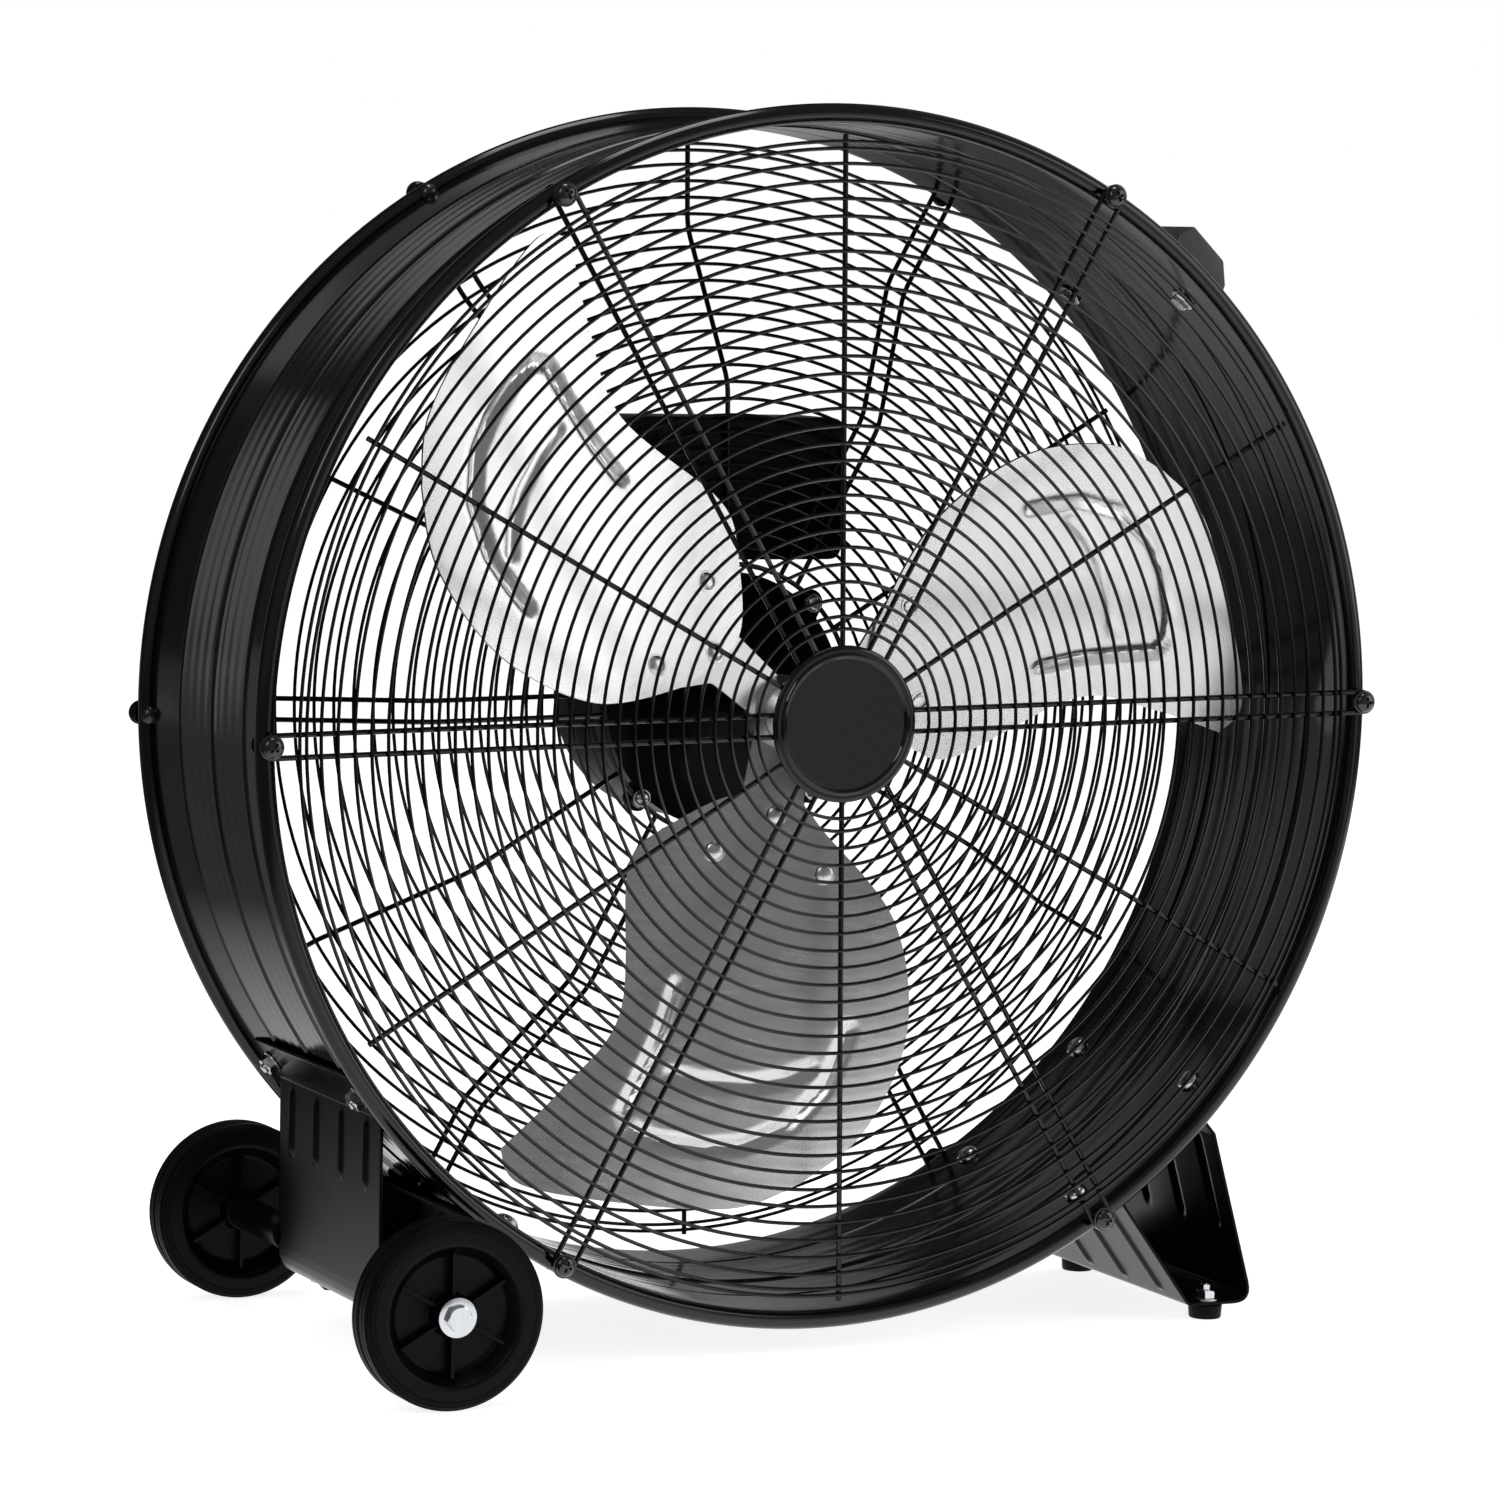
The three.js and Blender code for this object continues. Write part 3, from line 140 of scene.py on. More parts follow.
def turned(profile, sides=64, closed=False):
    """A turned shape round Z, from (radius, height) pairs; a closed profile makes a ring."""
    points, faces, rows = [], [], []
    circle = [(math.cos(t), math.sin(t)) for t in np.linspace(0, math.tau, sides, False)]
    for radius, height in profile:
        if radius < 1e-6:
            rows.append([len(points)] * sides)
            points.append((0, 0, height))
        else:
            rows.append(list(range(len(points), len(points) + sides)))
            points += [(radius * x, radius * y, height) for x, y in circle]
    for low, high in zip(rows, rows[1:] + (rows[:1] if closed else [])):
        for i in range(sides):
            j = (i + 1) % sides
            face = list(dict.fromkeys([low[i], low[j], high[j], high[i]]))
            if len(face) > 2:
                faces.append(face)
    return np.array(points), faces


def mirrored(profile):
    """A profile above the middle, carried on by its own mirror image below."""
    return profile + [(r, -h) for r, h in reversed(profile)]


def prism(outline, low, high):
    """A flat outline raised from one height to another."""
    count = len(outline)
    points = [(x, y, z) for z in (low, high) for x, y in outline]
    sides = [[i, (i + 1) % count, count + (i + 1) % count, count + i] for i in range(count)]
    return np.array(points, float), sides + [list(range(count)), list(range(count, 2 * count))]


def loft(sections):
    """A shape through closed sections that have the same number of points."""
    count = len(sections[0])
    points = [p for section in sections for p in section]
    faces = [list(range(count)), list(range(len(points) - count, len(points)))]
    for row in range(len(sections) - 1):
        for i in range(count):
            a, b = row * count + i, row * count + (i + 1) % count
            faces.append([a, b, b + count, a + count])
    return np.array(points, float), faces


def tube(path, radius=WIRE, sides=8):
    """A round wire along a path."""
    path = np.array(path, float)
    along = np.gradient(path, axis=0)
    along /= np.linalg.norm(along, axis=1, keepdims=True)
    side = np.cross(along[0], (0.31, 0.17, 0.93))
    sections = []
    for point, ahead in zip(path, along):
        side = side - ahead * np.dot(side, ahead)
        side /= np.linalg.norm(side)
        other = np.cross(ahead, side)
        turns = np.linspace(0, math.tau, sides, False)
        sections.append([point + radius * (math.cos(t) * side + math.sin(t) * other)
                         for t in turns])
    return loft(sections)


def ring(radius, y, wire=RING_WIRE, sides=None):
    """A hoop of wire round the drum's axis."""
    circle = [(radius + wire * math.cos(t), wire * math.sin(t))
              for t in np.linspace(0, math.tau, 8, False)]
    hoop = turned(circle, sides or 40 + int(radius * 0.55), closed=True)
    return placed(hoop, (0, y, AXIS_Z), BACK)


def sheet_normals(grid):
    """The directions that stand square on a grid of points."""
    normal = np.cross(np.gradient(grid, axis=0), np.gradient(grid, axis=1))
    return normal / np.linalg.norm(normal, axis=2, keepdims=True)


def pressed(grid, lines, half_width, rise):
    """The sheet with rounded ribs pressed along lines of points on it."""
    distance = np.full(grid.shape[:2], 1e9)
    for line in lines:
        line = np.array(line, float)
        for start, end in zip(line[:-1], line[1:]):
            run = end - start
            t = np.clip(((grid - start) @ run) / max(run @ run, 1e-9), 0, 1)
            gap = np.linalg.norm(grid - (start + t[..., None] * run), axis=2)
            distance = np.minimum(distance, gap)
    height = 0.5 + 0.5 * np.cos(math.pi * np.clip(distance / half_width, 0, 1))
    return grid + sheet_normals(grid) * (rise * height)[..., None]


def plate(grid, thickness):
    """A grid of points made into a sheet with two skins and a rim."""
    normal = sheet_normals(grid) * thickness / 2
    rows, columns = grid.shape[:2]
    index = np.arange(rows * columns).reshape(rows, columns)
    quads = np.stack([index[:-1, :-1], index[1:, :-1], index[1:, 1:], index[:-1, 1:]], 2)
    quads = quads.reshape(-1, 4)
    rim = np.concatenate([index[0, :-1], index[:-1, -1], index[-1, :0:-1], index[:0:-1, 0]])
    count = rows * columns
    sides = [[a, b, b + count, a + count] for a, b in zip(rim, np.roll(rim, -1))]
    faces = quads.tolist() + (quads[:, ::-1] + count).tolist() + sides
    points = np.concatenate([(grid + normal).reshape(-1, 3), (grid - normal).reshape(-1, 3)])
    return points, [[int(i) for i in face] for face in faces]


def carved(shape, tool, operation="DIFFERENCE"):
    """The shape with a tool's form cut out of it, or only what the two share."""
    objects = []
    for points, faces in (shape, tool):
        mesh = bpy.data.meshes.new("blank")
        mesh.from_pydata(np.asarray(points, float).tolist(), [], faces)
        outside_out(mesh)
        objects.append(bpy.data.objects.new("blank", mesh))
        bpy.context.collection.objects.link(objects[-1])
    cut = objects[0].modifiers.new("cut", "BOOLEAN")
    cut.object, cut.operation, cut.solver = objects[1], operation, "EXACT"
    bpy.context.view_layer.update()
    result = objects[0].evaluated_get(bpy.context.evaluated_depsgraph_get()).to_mesh()
    points = np.array([v.co for v in result.vertices])
    faces = [list(p.vertices) for p in result.polygons]
    for obj in objects:
        bpy.data.objects.remove(obj)
    return points, faces


def outside_out(mesh, bevel=0.0, steps=3):
    """Turns the faces' outer sides out, and rounds the sharp edges by the bevel."""
    work = bmesh.new()
    work.from_mesh(mesh)
    bmesh.ops.recalc_face_normals(work, faces=work.faces)
    if bevel:
        sharp = [e for e in work.edges if e.is_manifold and e.calc_face_angle() > 0.6]
        bmesh.ops.bevel(work, geom=sharp, offset=bevel, segments=steps, profile=0.5,
                        affect="EDGES", clamp_overlap=True)
    work.to_mesh(mesh)
    work.free()


def piece(name, shape, material, replaces, body="frame", bevel=0.0,
          grain=None, crease=30):
    """Makes a named piece that rides on a body and stands for CAD nodes, or for none."""
    mesh = bpy.data.meshes.new(name)
    points, faces = shape
    mesh.from_pydata(np.asarray(points, float).tolist(), [], faces)
    if grain is not None:
        layer = mesh.uv_layers.new(name="grain")
        for loop in mesh.loops:
            layer.data[loop.index].uv = grain[loop.vertex_index]
    outside_out(mesh, bevel)
    mesh.transform(Matrix.Scale(MM, 4))
    mesh.materials.append(material)
    mesh.shade_smooth()
    mesh.set_sharp_from_angle(angle=math.radians(crease))
    obj = bpy.data.objects.new(name, mesh)
    bpy.context.collection.objects.link(obj)
    if replaces:
        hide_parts(*replaces.split())
    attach(obj, body)
    return obj


# ---- finishes -----------------------------------------------------------------------
def linear(hex_colour):
    """A linear colour from an sRGB hex value."""
    parts = [int(hex_colour[i:i + 2], 16) / 255 for i in (1, 3, 5)]
    return [c / 12.92 if c <= 0.04045 else ((c + 0.055) / 1.055) ** 2.4 for c in parts] + [1]


def add_node(tree, kind, links=None, **settings):
    """Adds a node with its settings; links holds socket values and the outputs that feed it."""
    node = tree.nodes.new(kind)
    for key, value in settings.items():
        setattr(node, key, value)
    for key, value in (links or {}).items():
        if isinstance(value, bpy.types.NodeSocket):
            tree.links.new(value, node.inputs[key])
        else:
            node.inputs[key].default_value = value
    return node


def blank_tree(owner):
    """The emptied node tree of a material or a world."""
    owner.use_nodes = True
    owner.node_tree.nodes.clear()
    return owner.node_tree


def finish(name, low, high, rough, patch_mm, grain_mm, depth_mm, stretch=(1, 1, 1),
           flat_grain=False, **shader):
    """A surface whose colour and roughness drift in patches, with a fine grain in relief."""
    material = bpy.data.materials.new(name)
    tree = blank_tree(material)
    place = add_node(tree, "ShaderNodeTexCoord").outputs["UV" if flat_grain else "Object"]
    drawn = add_node(tree, "ShaderNodeMapping", {"Vector": place, "Scale": stretch})
    patch = add_node(tree, "ShaderNodeTexNoise", {
        "Vector": place, "Scale": 1 / (patch_mm * MM), "Detail": 3, "Roughness": 0.55})
    grain = add_node(tree, "ShaderNodeTexNoise", {
        "Vector": drawn.outputs[0], "Scale": 1 / (grain_mm * MM), "Detail": 2})
    both = add_node(tree, "ShaderNodeMath", {
        0: patch.outputs["Fac"], 1: grain.outputs["Fac"], 2: 0.25}, operation="MULTIPLY_ADD")
    colour = add_node(tree, "ShaderNodeMix", {
        "Factor": both.outputs[0], "A": linear(low), "B": linear(high)}, data_type="RGBA")
    gloss = add_node(tree, "ShaderNodeMapRange", {
        "Value": both.outputs[0], "From Min": 0.3, "From Max": 0.8,
        "To Min": rough[0], "To Max": rough[1]})
    relief = add_node(tree, "ShaderNodeBump", {
        "Height": grain.outputs["Fac"], "Distance": depth_mm * MM, "Strength": 1.0})
    surface = add_node(tree, "ShaderNodeBsdfPrincipled", {
        "Base Color": colour.outputs["Result"], "Roughness": gloss.outputs[0],
        "Normal": relief.outputs[0], **shader})
    add_node(tree, "ShaderNodeOutputMaterial", {"Surface": surface.outputs[0]})
    return material


# Gloss black powder coat on rolled steel: soft wide highlights with a faint orange peel.
DRUM_COAT = finish("powder_coated_drum_steel", "#050505", "#0b0b0c", (0.1, 0.17), 60, 2.2, 0.003,
                   **{"IOR": 1.5, "Specular IOR Level": 0.42})
# Satin black powder coat on folded steel and the motor's can: a dull, slightly grainy sheen.
BRACKET_COAT = finish("powder_coated_folded_steel", "#070707", "#0e0e0f", (0.2, 0.28), 25, 1.4,
                      0.002, **{"IOR": 1.5, "Specular IOR Level": 0.08})
# Powder coated welded wire: thicker coat that runs a little, with a bright line on top.
WIRE_COAT = finish("powder_coated_guard_wire", "#050505", "#0b0b0c", (0.14, 0.22), 20, 1.5,
                   0.01, **{"IOR": 1.5, "Specular IOR Level": 0.3})
# Mill finish aluminium sheet with the rolling grain along the blade: soft silver streaks.
BLADE_METAL = finish("rolled_aluminium_blade", "#cdcfd1", "#f4f4f5", (0.22, 0.3), 24, 4, 0.0001,
                     stretch=(0.2, 1.2, 1), flat_grain=True, **{"Metallic": 1.0})
# Bright zinc plate on bolts and nuts: clean, slightly cloudy silver.
ZINC = finish("bright_zinc_plate", "#b0b3b7", "#dadcdf", (0.16, 0.28), 6, 2.5, 0.0006,
              **{"Metallic": 1.0})
# Galvanised steel plate of the spider: smooth pale metal with a soft cloudiness.
GALVANISED = finish("galvanised_steel_plate", "#cfd1d3", "#ececed", (0.28, 0.38), 24, 8, 0.002,
                    **{"Metallic": 1.0})
# Black passivated screws: dark metal with small sharp highlights.
BLACK_SCREW = finish("black_passivated_screw", "#09090a", "#161617", (0.18, 0.28), 4, 1.0, 0.006,
                     **{"IOR": 1.5, "Coat Weight": 0.3})
# Bare turned steel of the shaft and bearings: grey with fine turning rings.
TURNED_STEEL = finish("turned_steel", "#7d8084", "#9b9ea2", (0.24, 0.38), 8, 0.8, 0.006,
                      stretch=(1, 6, 1), **{"Metallic": 1.0})
# Painted cast aluminium of the motor's bells: satin black over sand grain.
CAST_PAINT = finish("painted_cast_aluminium", "#080809", "#101012", (0.36, 0.5), 18, 1.6, 0.05,
                    **{"IOR": 1.5, "Specular IOR Level": 0.18})
# Gloss moulded ABS of the hub cap: deep black with a mirror like sheen.
GLOSS_ABS = finish("gloss_moulded_abs", "#030303", "#070707", (0.05, 0.09), 30, 4, 0.0005,
                   **{"IOR": 1.53, "Specular IOR Level": 0.35})
# Fine textured moulded nylon of switch box, wheels, knob and axle clamp: dull deep black.
TEXTURED_NYLON = finish("textured_moulded_nylon", "#030303", "#080808", (0.34, 0.46), 14, 0.9,
                        0.012, **{"IOR": 1.53, "Specular IOR Level": 0.09})
# Moulded rubber of tyres and feet: dull black with a little bloom.
RUBBER = finish("moulded_rubber", "#030303", "#080807", (0.45, 0.6), 10, 0.9, 0.012,
                **{"IOR": 1.52, "Specular IOR Level": 0.08})
# Textured polypropylene of the carrying handle: dark grey that takes a broad soft sheen.
GRIP_PLASTIC = finish("textured_polypropylene_grip", "#282828", "#363636", (0.3, 0.4), 16, 1.1,
                      0.015, **{"IOR": 1.49, "Specular IOR Level": 0.5})


# ---- fasteners ----------------------------------------------------------------------
def washer(inner, outer, height):
    """A flat washer with rounded edges, standing on Z = 0."""
    return turned(rounded([(inner, 0), (outer, 0), (outer, height), (inner, height)],
                          height * 0.3, 2), 40, closed=True)


def hex_head(reach, height, low=0.0):
    """A hexagon head or nut with its corners chamfered by turning."""
    corners = [(reach * math.cos(t), reach * math.sin(t))
               for t in np.linspace(0, math.tau, 6, False)]
    chamfer = [(0, low - 0.1), (reach * 0.94, low - 0.1), (reach * 1.01, low + height * 0.16),
               (reach * 1.01, low + height * 0.8), (reach * 0.84, low + height), (0, low + height)]
    return carved(prism(corners, low, low + height), turned(chamfer, 48), "INTERSECT")


def dome(radius, rise, low=0.0, recess=True):
    """A dome head, with a cross recess for the driver."""
    arc = [(radius * math.cos(t), low + rise * math.sin(t) ** 0.9)
           for t in np.linspace(0, math.pi / 2, 9)][:-1]
    head = turned([(0, low)] + arc + [(0, low + rise)], 36)
    if not recess:
        return head
    long, wide, top = radius * 0.52, radius * 0.13, low + rise
    blade = [(-long, -wide), (long, -wide), (long, wide), (-long, wide)]
    slot = prism(blade, top - rise * 0.6, top + 1)
    head = carved(head, slot)
    return carved(head, placed(slot, roll=90))


def rod(radius, low, high):
    """A plain round shank with a chamfered end."""
    edge = min(radius * 0.25, 0.8)
    return turned([(0, low), (radius, low), (radius, high - edge), (radius - edge, high),
                   (0, high)], 28)


GUARD_SCREW = joined(washer(2.3, 6.8, 1.2), dome(5.9, 3.6, 1.2), rod(2.2, -18, 1.4),
                     placed(dome(5.4, 4.4, recess=False), (0, 0, -16.4), DOWN))
NUT_FACE = hex_head(6, 5)


# ---- the drum -----------------------------------------------------------------------
def hump(distance, half):
    """1 in the middle, falling smoothly to 0 at the half width."""
    return 0.5 + 0.5 * math.cos(math.pi * min(abs(distance) / half, 1))


def wall_rise(y):
    """How far the wall stands out at a place along the drum: ridges, a groove, faint waves."""
    ridge = 0.9 * hump(abs(y) - RIDGE_Y, 2.2)
    groove = -1.1 * hump(max(abs(y - GROOVE_Y) - 3.6, 0), 1.4)
    wave = 0.07 * math.cos(0.5 * y) * hump(y, 70)
    return ridge + groove + wave


def build_drum():
    """The rolled wall, flaring to a rolled bead at each end."""
    bead = [math.radians(t) for t in range(180, 469, 9)]
    front = [(RIM + RIM_BEAD * math.cos(t), -DRUM_HALF + RIM_BEAD * math.sin(t)) for t in bead]
    back = [(r, -y) for r, y in reversed(front)]
    start, end = FLARE_Y
    even = np.linspace(-end, end, 59)
    ridge = np.linspace(RIDGE_Y - 3, RIDGE_Y + 3, 13)
    groove = np.linspace(GROOVE_Y - 6, GROOVE_Y + 6, 17)
    stations = sorted({round(v, 2) for v in [*even, -start, start, *ridge, *(-ridge), *groove]})
    flare = [FLARE_RISE * max(0, (abs(y) - start) / (end - start)) for y in stations]
    outer = [(WALL + wall_rise(y) + f, y) for y, f in zip(stations, flare)]
    inner = [(INNER_WALL + wall_rise(y), y) for y in reversed(stations)]
    shell = turned(front + outer + back + inner, 300, closed=True)
    piece("rolled_drum", placed(shell, (0, 0, AXIS_Z), BACK), DRUM_COAT, "drum_shell")


# ---- the wire guards ----------------------------------------------------------------
REAR_BEND = rounded([(77.5, DISH_Y), (DISH[0], DISH_Y), (DISH[1], SPOKE_Y), (PAST_RIM, SPOKE_Y)],
                    26, 5, False)
REAR_SLOPE = (SPOKE_Y - DISH_Y) / (DISH[1] - DISH[0])


def rear_y(radius):
    """How far back a spoke of the dished rear guard runs at a radius."""
    return float(np.interp(radius, *zip(*REAR_BEND)))


def motor_screw_angle(k):
    """Where the motor's k-th screw stands, in degrees round the axis."""
    return 45 + 90 * k + DRUM_TURN


def spoke(path, degrees):
    """A wire along (radius, Y) pairs, at an angle round the axis."""
    out = np.array(outward(degrees))
    return tube([out * r + (0, y, AXIS_Z) for r, y in path])


def hairpin(path, degrees, half=6.0, bend=333.2):
    """A double spoke bent round its screw at the rim."""
    out, side = np.array(outward(degrees)), np.array(outward(degrees + 90))
    run = [(r, y) for r, y in path if r < bend] + [(bend, path[-1][1])]
    loop = [(bend + half * math.sin(t), half * math.cos(t)) for t in
            np.linspace(0, math.pi, 13)[1:-1]]
    legs = ([(r, half, y) for r, y in run] + [(r, s, path[-1][1]) for r, s in loop]
            + [(r, -half, y) for r, y in reversed(run)])
    return tube([out * r + side * s + (0, y, AXIS_Z) for r, s, y in legs])


def build_front_guard():
    """The flat guard: rings welded on single spokes and double hairpin spokes."""
    single = [(SPOKE_START, -SPOKE_Y), (323, -SPOKE_Y)]
    double = [(SPOKE_START, -SPOKE_Y), (PAST_RIM, -SPOKE_Y)]
    wires = []
    for k in range(6):
        wires.append(spoke(single, 30 + 60 * k + DRUM_TURN))
        wires.append(hairpin(double, 60 * k + DRUM_TURN))
    wires += [ring(radius, -SPOKE_Y - RING_LIFT) for radius in RINGS]
    hub = turned(rounded([(0, 0), (40, 0), (40, 3.2), (0, 3.2)], [0, 1, 1, 0], 3), 96)
    wires.append(placed(hub, (0, -101.6, AXIS_Z), FRONT))
    piece("front_wire_guard", joined(*wires), WIRE_COAT, "front_guard")


def build_rear_guard():
    """The guard that dips inwards to carry the motor, with an eye for each motor screw."""
    single = [(r, y) for r, y in REAR_BEND if r < 322] + [(322, SPOKE_Y)]
    wires = []
    for k in range(6):
        wires.append(spoke(single, 30 + 60 * k + DRUM_TURN))
        wires.append(hairpin(REAR_BEND, 60 * k + DRUM_TURN))
    for radius in RINGS:
        if radius > 82:
            lean = REAR_SLOPE if DISH[0] < radius < DISH[1] else 0
            wires.append(ring(radius, rear_y(radius) - RING_LIFT * math.hypot(1, lean)))
    wires.append(ring(78.5, DISH_Y, WIRE))
    for k in range(4):
        eye = turned([(4.4 + WIRE * math.cos(t), WIRE * math.sin(t)) for t in
                      np.linspace(0, math.tau, 10, False)], 28, closed=True)
        wires.append(placed(eye, round_axis(MOTOR_SCREW, motor_screw_angle(k), DISH_Y), BACK))
    piece("rear_wire_guard", joined(*wires), WIRE_COAT, "rear_guard")


def build_guard_fixings():
    """The screws that hold both guards to the rims, and the cap on the front guard's hub."""
    for k in range(6):
        angle = 60 * k + DRUM_TURN
        for side, seat, way in (("front", -105.3, FRONT), ("rear", 105.9, BACK)):
            screw = placed(GUARD_SCREW, round_axis(RIM, angle, seat), way, roll=17 * k)
            piece(f"{side}_rim_screw_{k + 1}", screw, BLACK_SCREW,
                  f"{side}_guard_screw_{k + 1}")
    profile = rounded([(0, 0), (43.5, 0), (43.5, 1.6), (41.4, 2.6), (39.6, 2.5), (38, 3.9),
                       (36.2, 2.3), (0, 2.3)], [0, 0.4, 1.6, 1, 0.8, 2.4, 0.8, 0], 5)
    cap = placed(turned(profile, 128), (0, -105.6, AXIS_Z), FRONT)
    piece("guard_hub_cap", cap, GLOSS_ABS, "hub_cap")


# ---- the blades ---------------------------------------------------------------------
BLADE_ANGLES = (-98, -218, -338)
BLADE_Y = -35               # of the flat pattern's middle line, 80 mm up the blade
CONE, PITCH = 0.05, 0.375   # slopes of the blade outwards and across
TWIST = 0.0008              # by which the pitch falls with each mm past TWIST_START
TWIST_START = 98
# The flat pattern: its edges, beads and rivets, as mm across and mm up the blade.
BACK_EDGE = [(-57, 75), (-72, 100), (-68, 180), (-95, 226), (-126, 264)]
FRONT_EDGE = [(29, 64), (72, 108), (88, 170), (73, 228), (43, 261)]
ROOT_EDGE = [(-57, 75), (-16, 49), (29, 64)]
TIP_EDGE = [(-126, 264), (-112, 282), (-50, 285), (8, 280), (43, 261)]
LONG_BEAD = [(-40, 161), (-45, 187), (-54, 215), (-61, 235), (-57, 243), (-43, 248), (-16, 249),
             (6, 245), (30, 231), (47, 207), (53, 187), (56, 172)]
SHORT_BEAD = [(-37, 210), (-20, 212), (7, 210), (26, 204), (39, 196)]
RIVETS = [(-28.5, 83), (1.5, 58), (31, 87)]


def spline(knots, t):
    """A point on a smooth line through knots, each span an equal share of t."""
    knots = np.array(knots, float)
    spot = min(t, 0.999999) * (len(knots) - 1)
    i = int(spot)
    w = spot - i
    last = len(knots) - 1
    a, b, c, d = knots[max(i - 1, 0)], knots[i], knots[min(i + 1, last)], knots[min(i + 2, last)]
    v0, v1 = (c - a) / 2, (d - b) / 2
    return ((2 * b - 2 * c + v0 + v1) * w ** 3 + (-3 * b + 3 * c - 2 * v0 - v1) * w ** 2
            + v0 * w + b)


def blade_outline(s, t):
    """Where a share across and a share up the blade falls on its flat pattern."""
    sides = (1 - s) * spline(BACK_EDGE, t) + s * spline(FRONT_EDGE, t)
    ends = (1 - t) * spline(ROOT_EDGE, s) + t * spline(TIP_EDGE, s)
    low = (1 - s) * np.array(BACK_EDGE[0]) + s * np.array(FRONT_EDGE[0])
    high = (1 - s) * np.array(BACK_EDGE[-1]) + s * np.array(FRONT_EDGE[-1])
    return sides + ends - ((1 - t) * low + t * high)


def on_blade(u, v, degrees, lift=0.0):
    """A point of the flat pattern on the pitched and twisted blade."""
    slope = PITCH - TWIST * max(v - TWIST_START, 0)
    y = BLADE_Y - CONE * (v - 80) - u * slope - lift
    turn = math.radians(degrees)
    x = v * math.cos(turn) - u * math.sin(turn)
    z = v * math.sin(turn) + u * math.cos(turn)
    return (x, y, AXIS_Z + z)


def build_impeller():
    """Three pressed aluminium blades, riveted to the spider on the motor's shaft."""
    across, up = np.linspace(0, 1, 84), np.linspace(0, 1, 104)
    pattern = np.array([[blade_outline(s, t) for t in up] for s in across])
    grain = pattern.reshape(-1, 2) * MM
    for k, angle in enumerate(BLADE_ANGLES):
        grid = np.array([[on_blade(u, v, angle) for u, v in row] for row in pattern])
        beads = [[on_blade(u, v, angle) for u, v in line] for line in (LONG_BEAD, SHORT_BEAD)]
        sheet = plate(pressed(pressed(grid, beads[:1], 6, 2.6), beads[1:], 6, 1.6), SHEET)
        facing = Vector(FRONT) + Vector(outward(angle + 90)) * -0.36
        rivet = joined(washer(2.5, 6.4, 0.4), dome(5.2, 1.9, 0.3, recess=False))
        heads = [placed(rivet, on_blade(u, v, angle, 0.75), facing) for u, v in RIVETS]
        whole = joined(sheet, *heads)
        coordinates = np.zeros((len(whole[0]), 2))
        coordinates[:2 * len(grain)] = np.concatenate([grain, grain])
        piece(f"pressed_blade_{k + 1}", whole, BLADE_METAL, f"blade_{k + 1}", "impeller",
              grain=coordinates)


def build_spider():
    """The plate that carries the blades, on a hub pinned to the motor's shaft."""
    half = [(14, 6), (16.5, 50), (38, 73), (38, 88), (28, 95), (14, 92), (8, 70)]
    outline = rounded([(-u, v) for u, v in half] + half[::-1], [0, 6, 5, 5, 6, 6, 4] +
                      [4, 6, 6, 5, 5, 6, 0], 4)
    arms = []
    for angle in BLADE_ANGLES:
        points, faces = prism(outline, -4.1, -1.5)
        arms.append(([on_blade(u, v, angle, lift) for u, v, lift in points], faces))
    hub = on_axis(rounded([(5.5, -53), (14, -53), (20.5, -47), (20.5, -18), (5.5, -18)],
                          [0, 1, 2, 2, 0], 3) + [(5.5, -53)], 64)
    piece("galvanised_blade_spider", joined(hub, *arms), GALVANISED, "blade_spider", "impeller")


# ---- the motor ----------------------------------------------------------------------
def eared_outline(radius, ear=8.0):
    """A round flange with four ears at the motor's screws."""
    points = []
    for degrees in np.arange(0, 360, 1.5):
        apart = math.radians((degrees - DRUM_TURN) % 90 - 45)
        cross = MOTOR_SCREW * math.sin(apart)
        reach = radius
        if abs(cross) < ear and abs(apart) < 0.5:
            reach = max(radius, MOTOR_SCREW * math.cos(apart) + math.sqrt(ear ** 2 - cross ** 2))
        points.append((reach * math.cos(math.radians(degrees)),
                       reach * math.sin(math.radians(degrees))))
    return points


def across_drum(shape):
    """A shape drawn flat, stood up across the drum's axis."""
    points, faces = shape
    return np.stack([points[:, 0], points[:, 2], AXIS_Z + points[:, 1]], 1), faces


def flange_plate(radius, y0, y1):
    """An eared plate across the drum's axis."""
    return across_drum(prism(eared_outline(radius), y0, y1))


def on_axis(profile, sides=96):
    """A shape turned round the drum's axis, from (radius, Y) pairs."""
    return placed(turned(profile, sides), (0, 0, AXIS_Z), BACK)


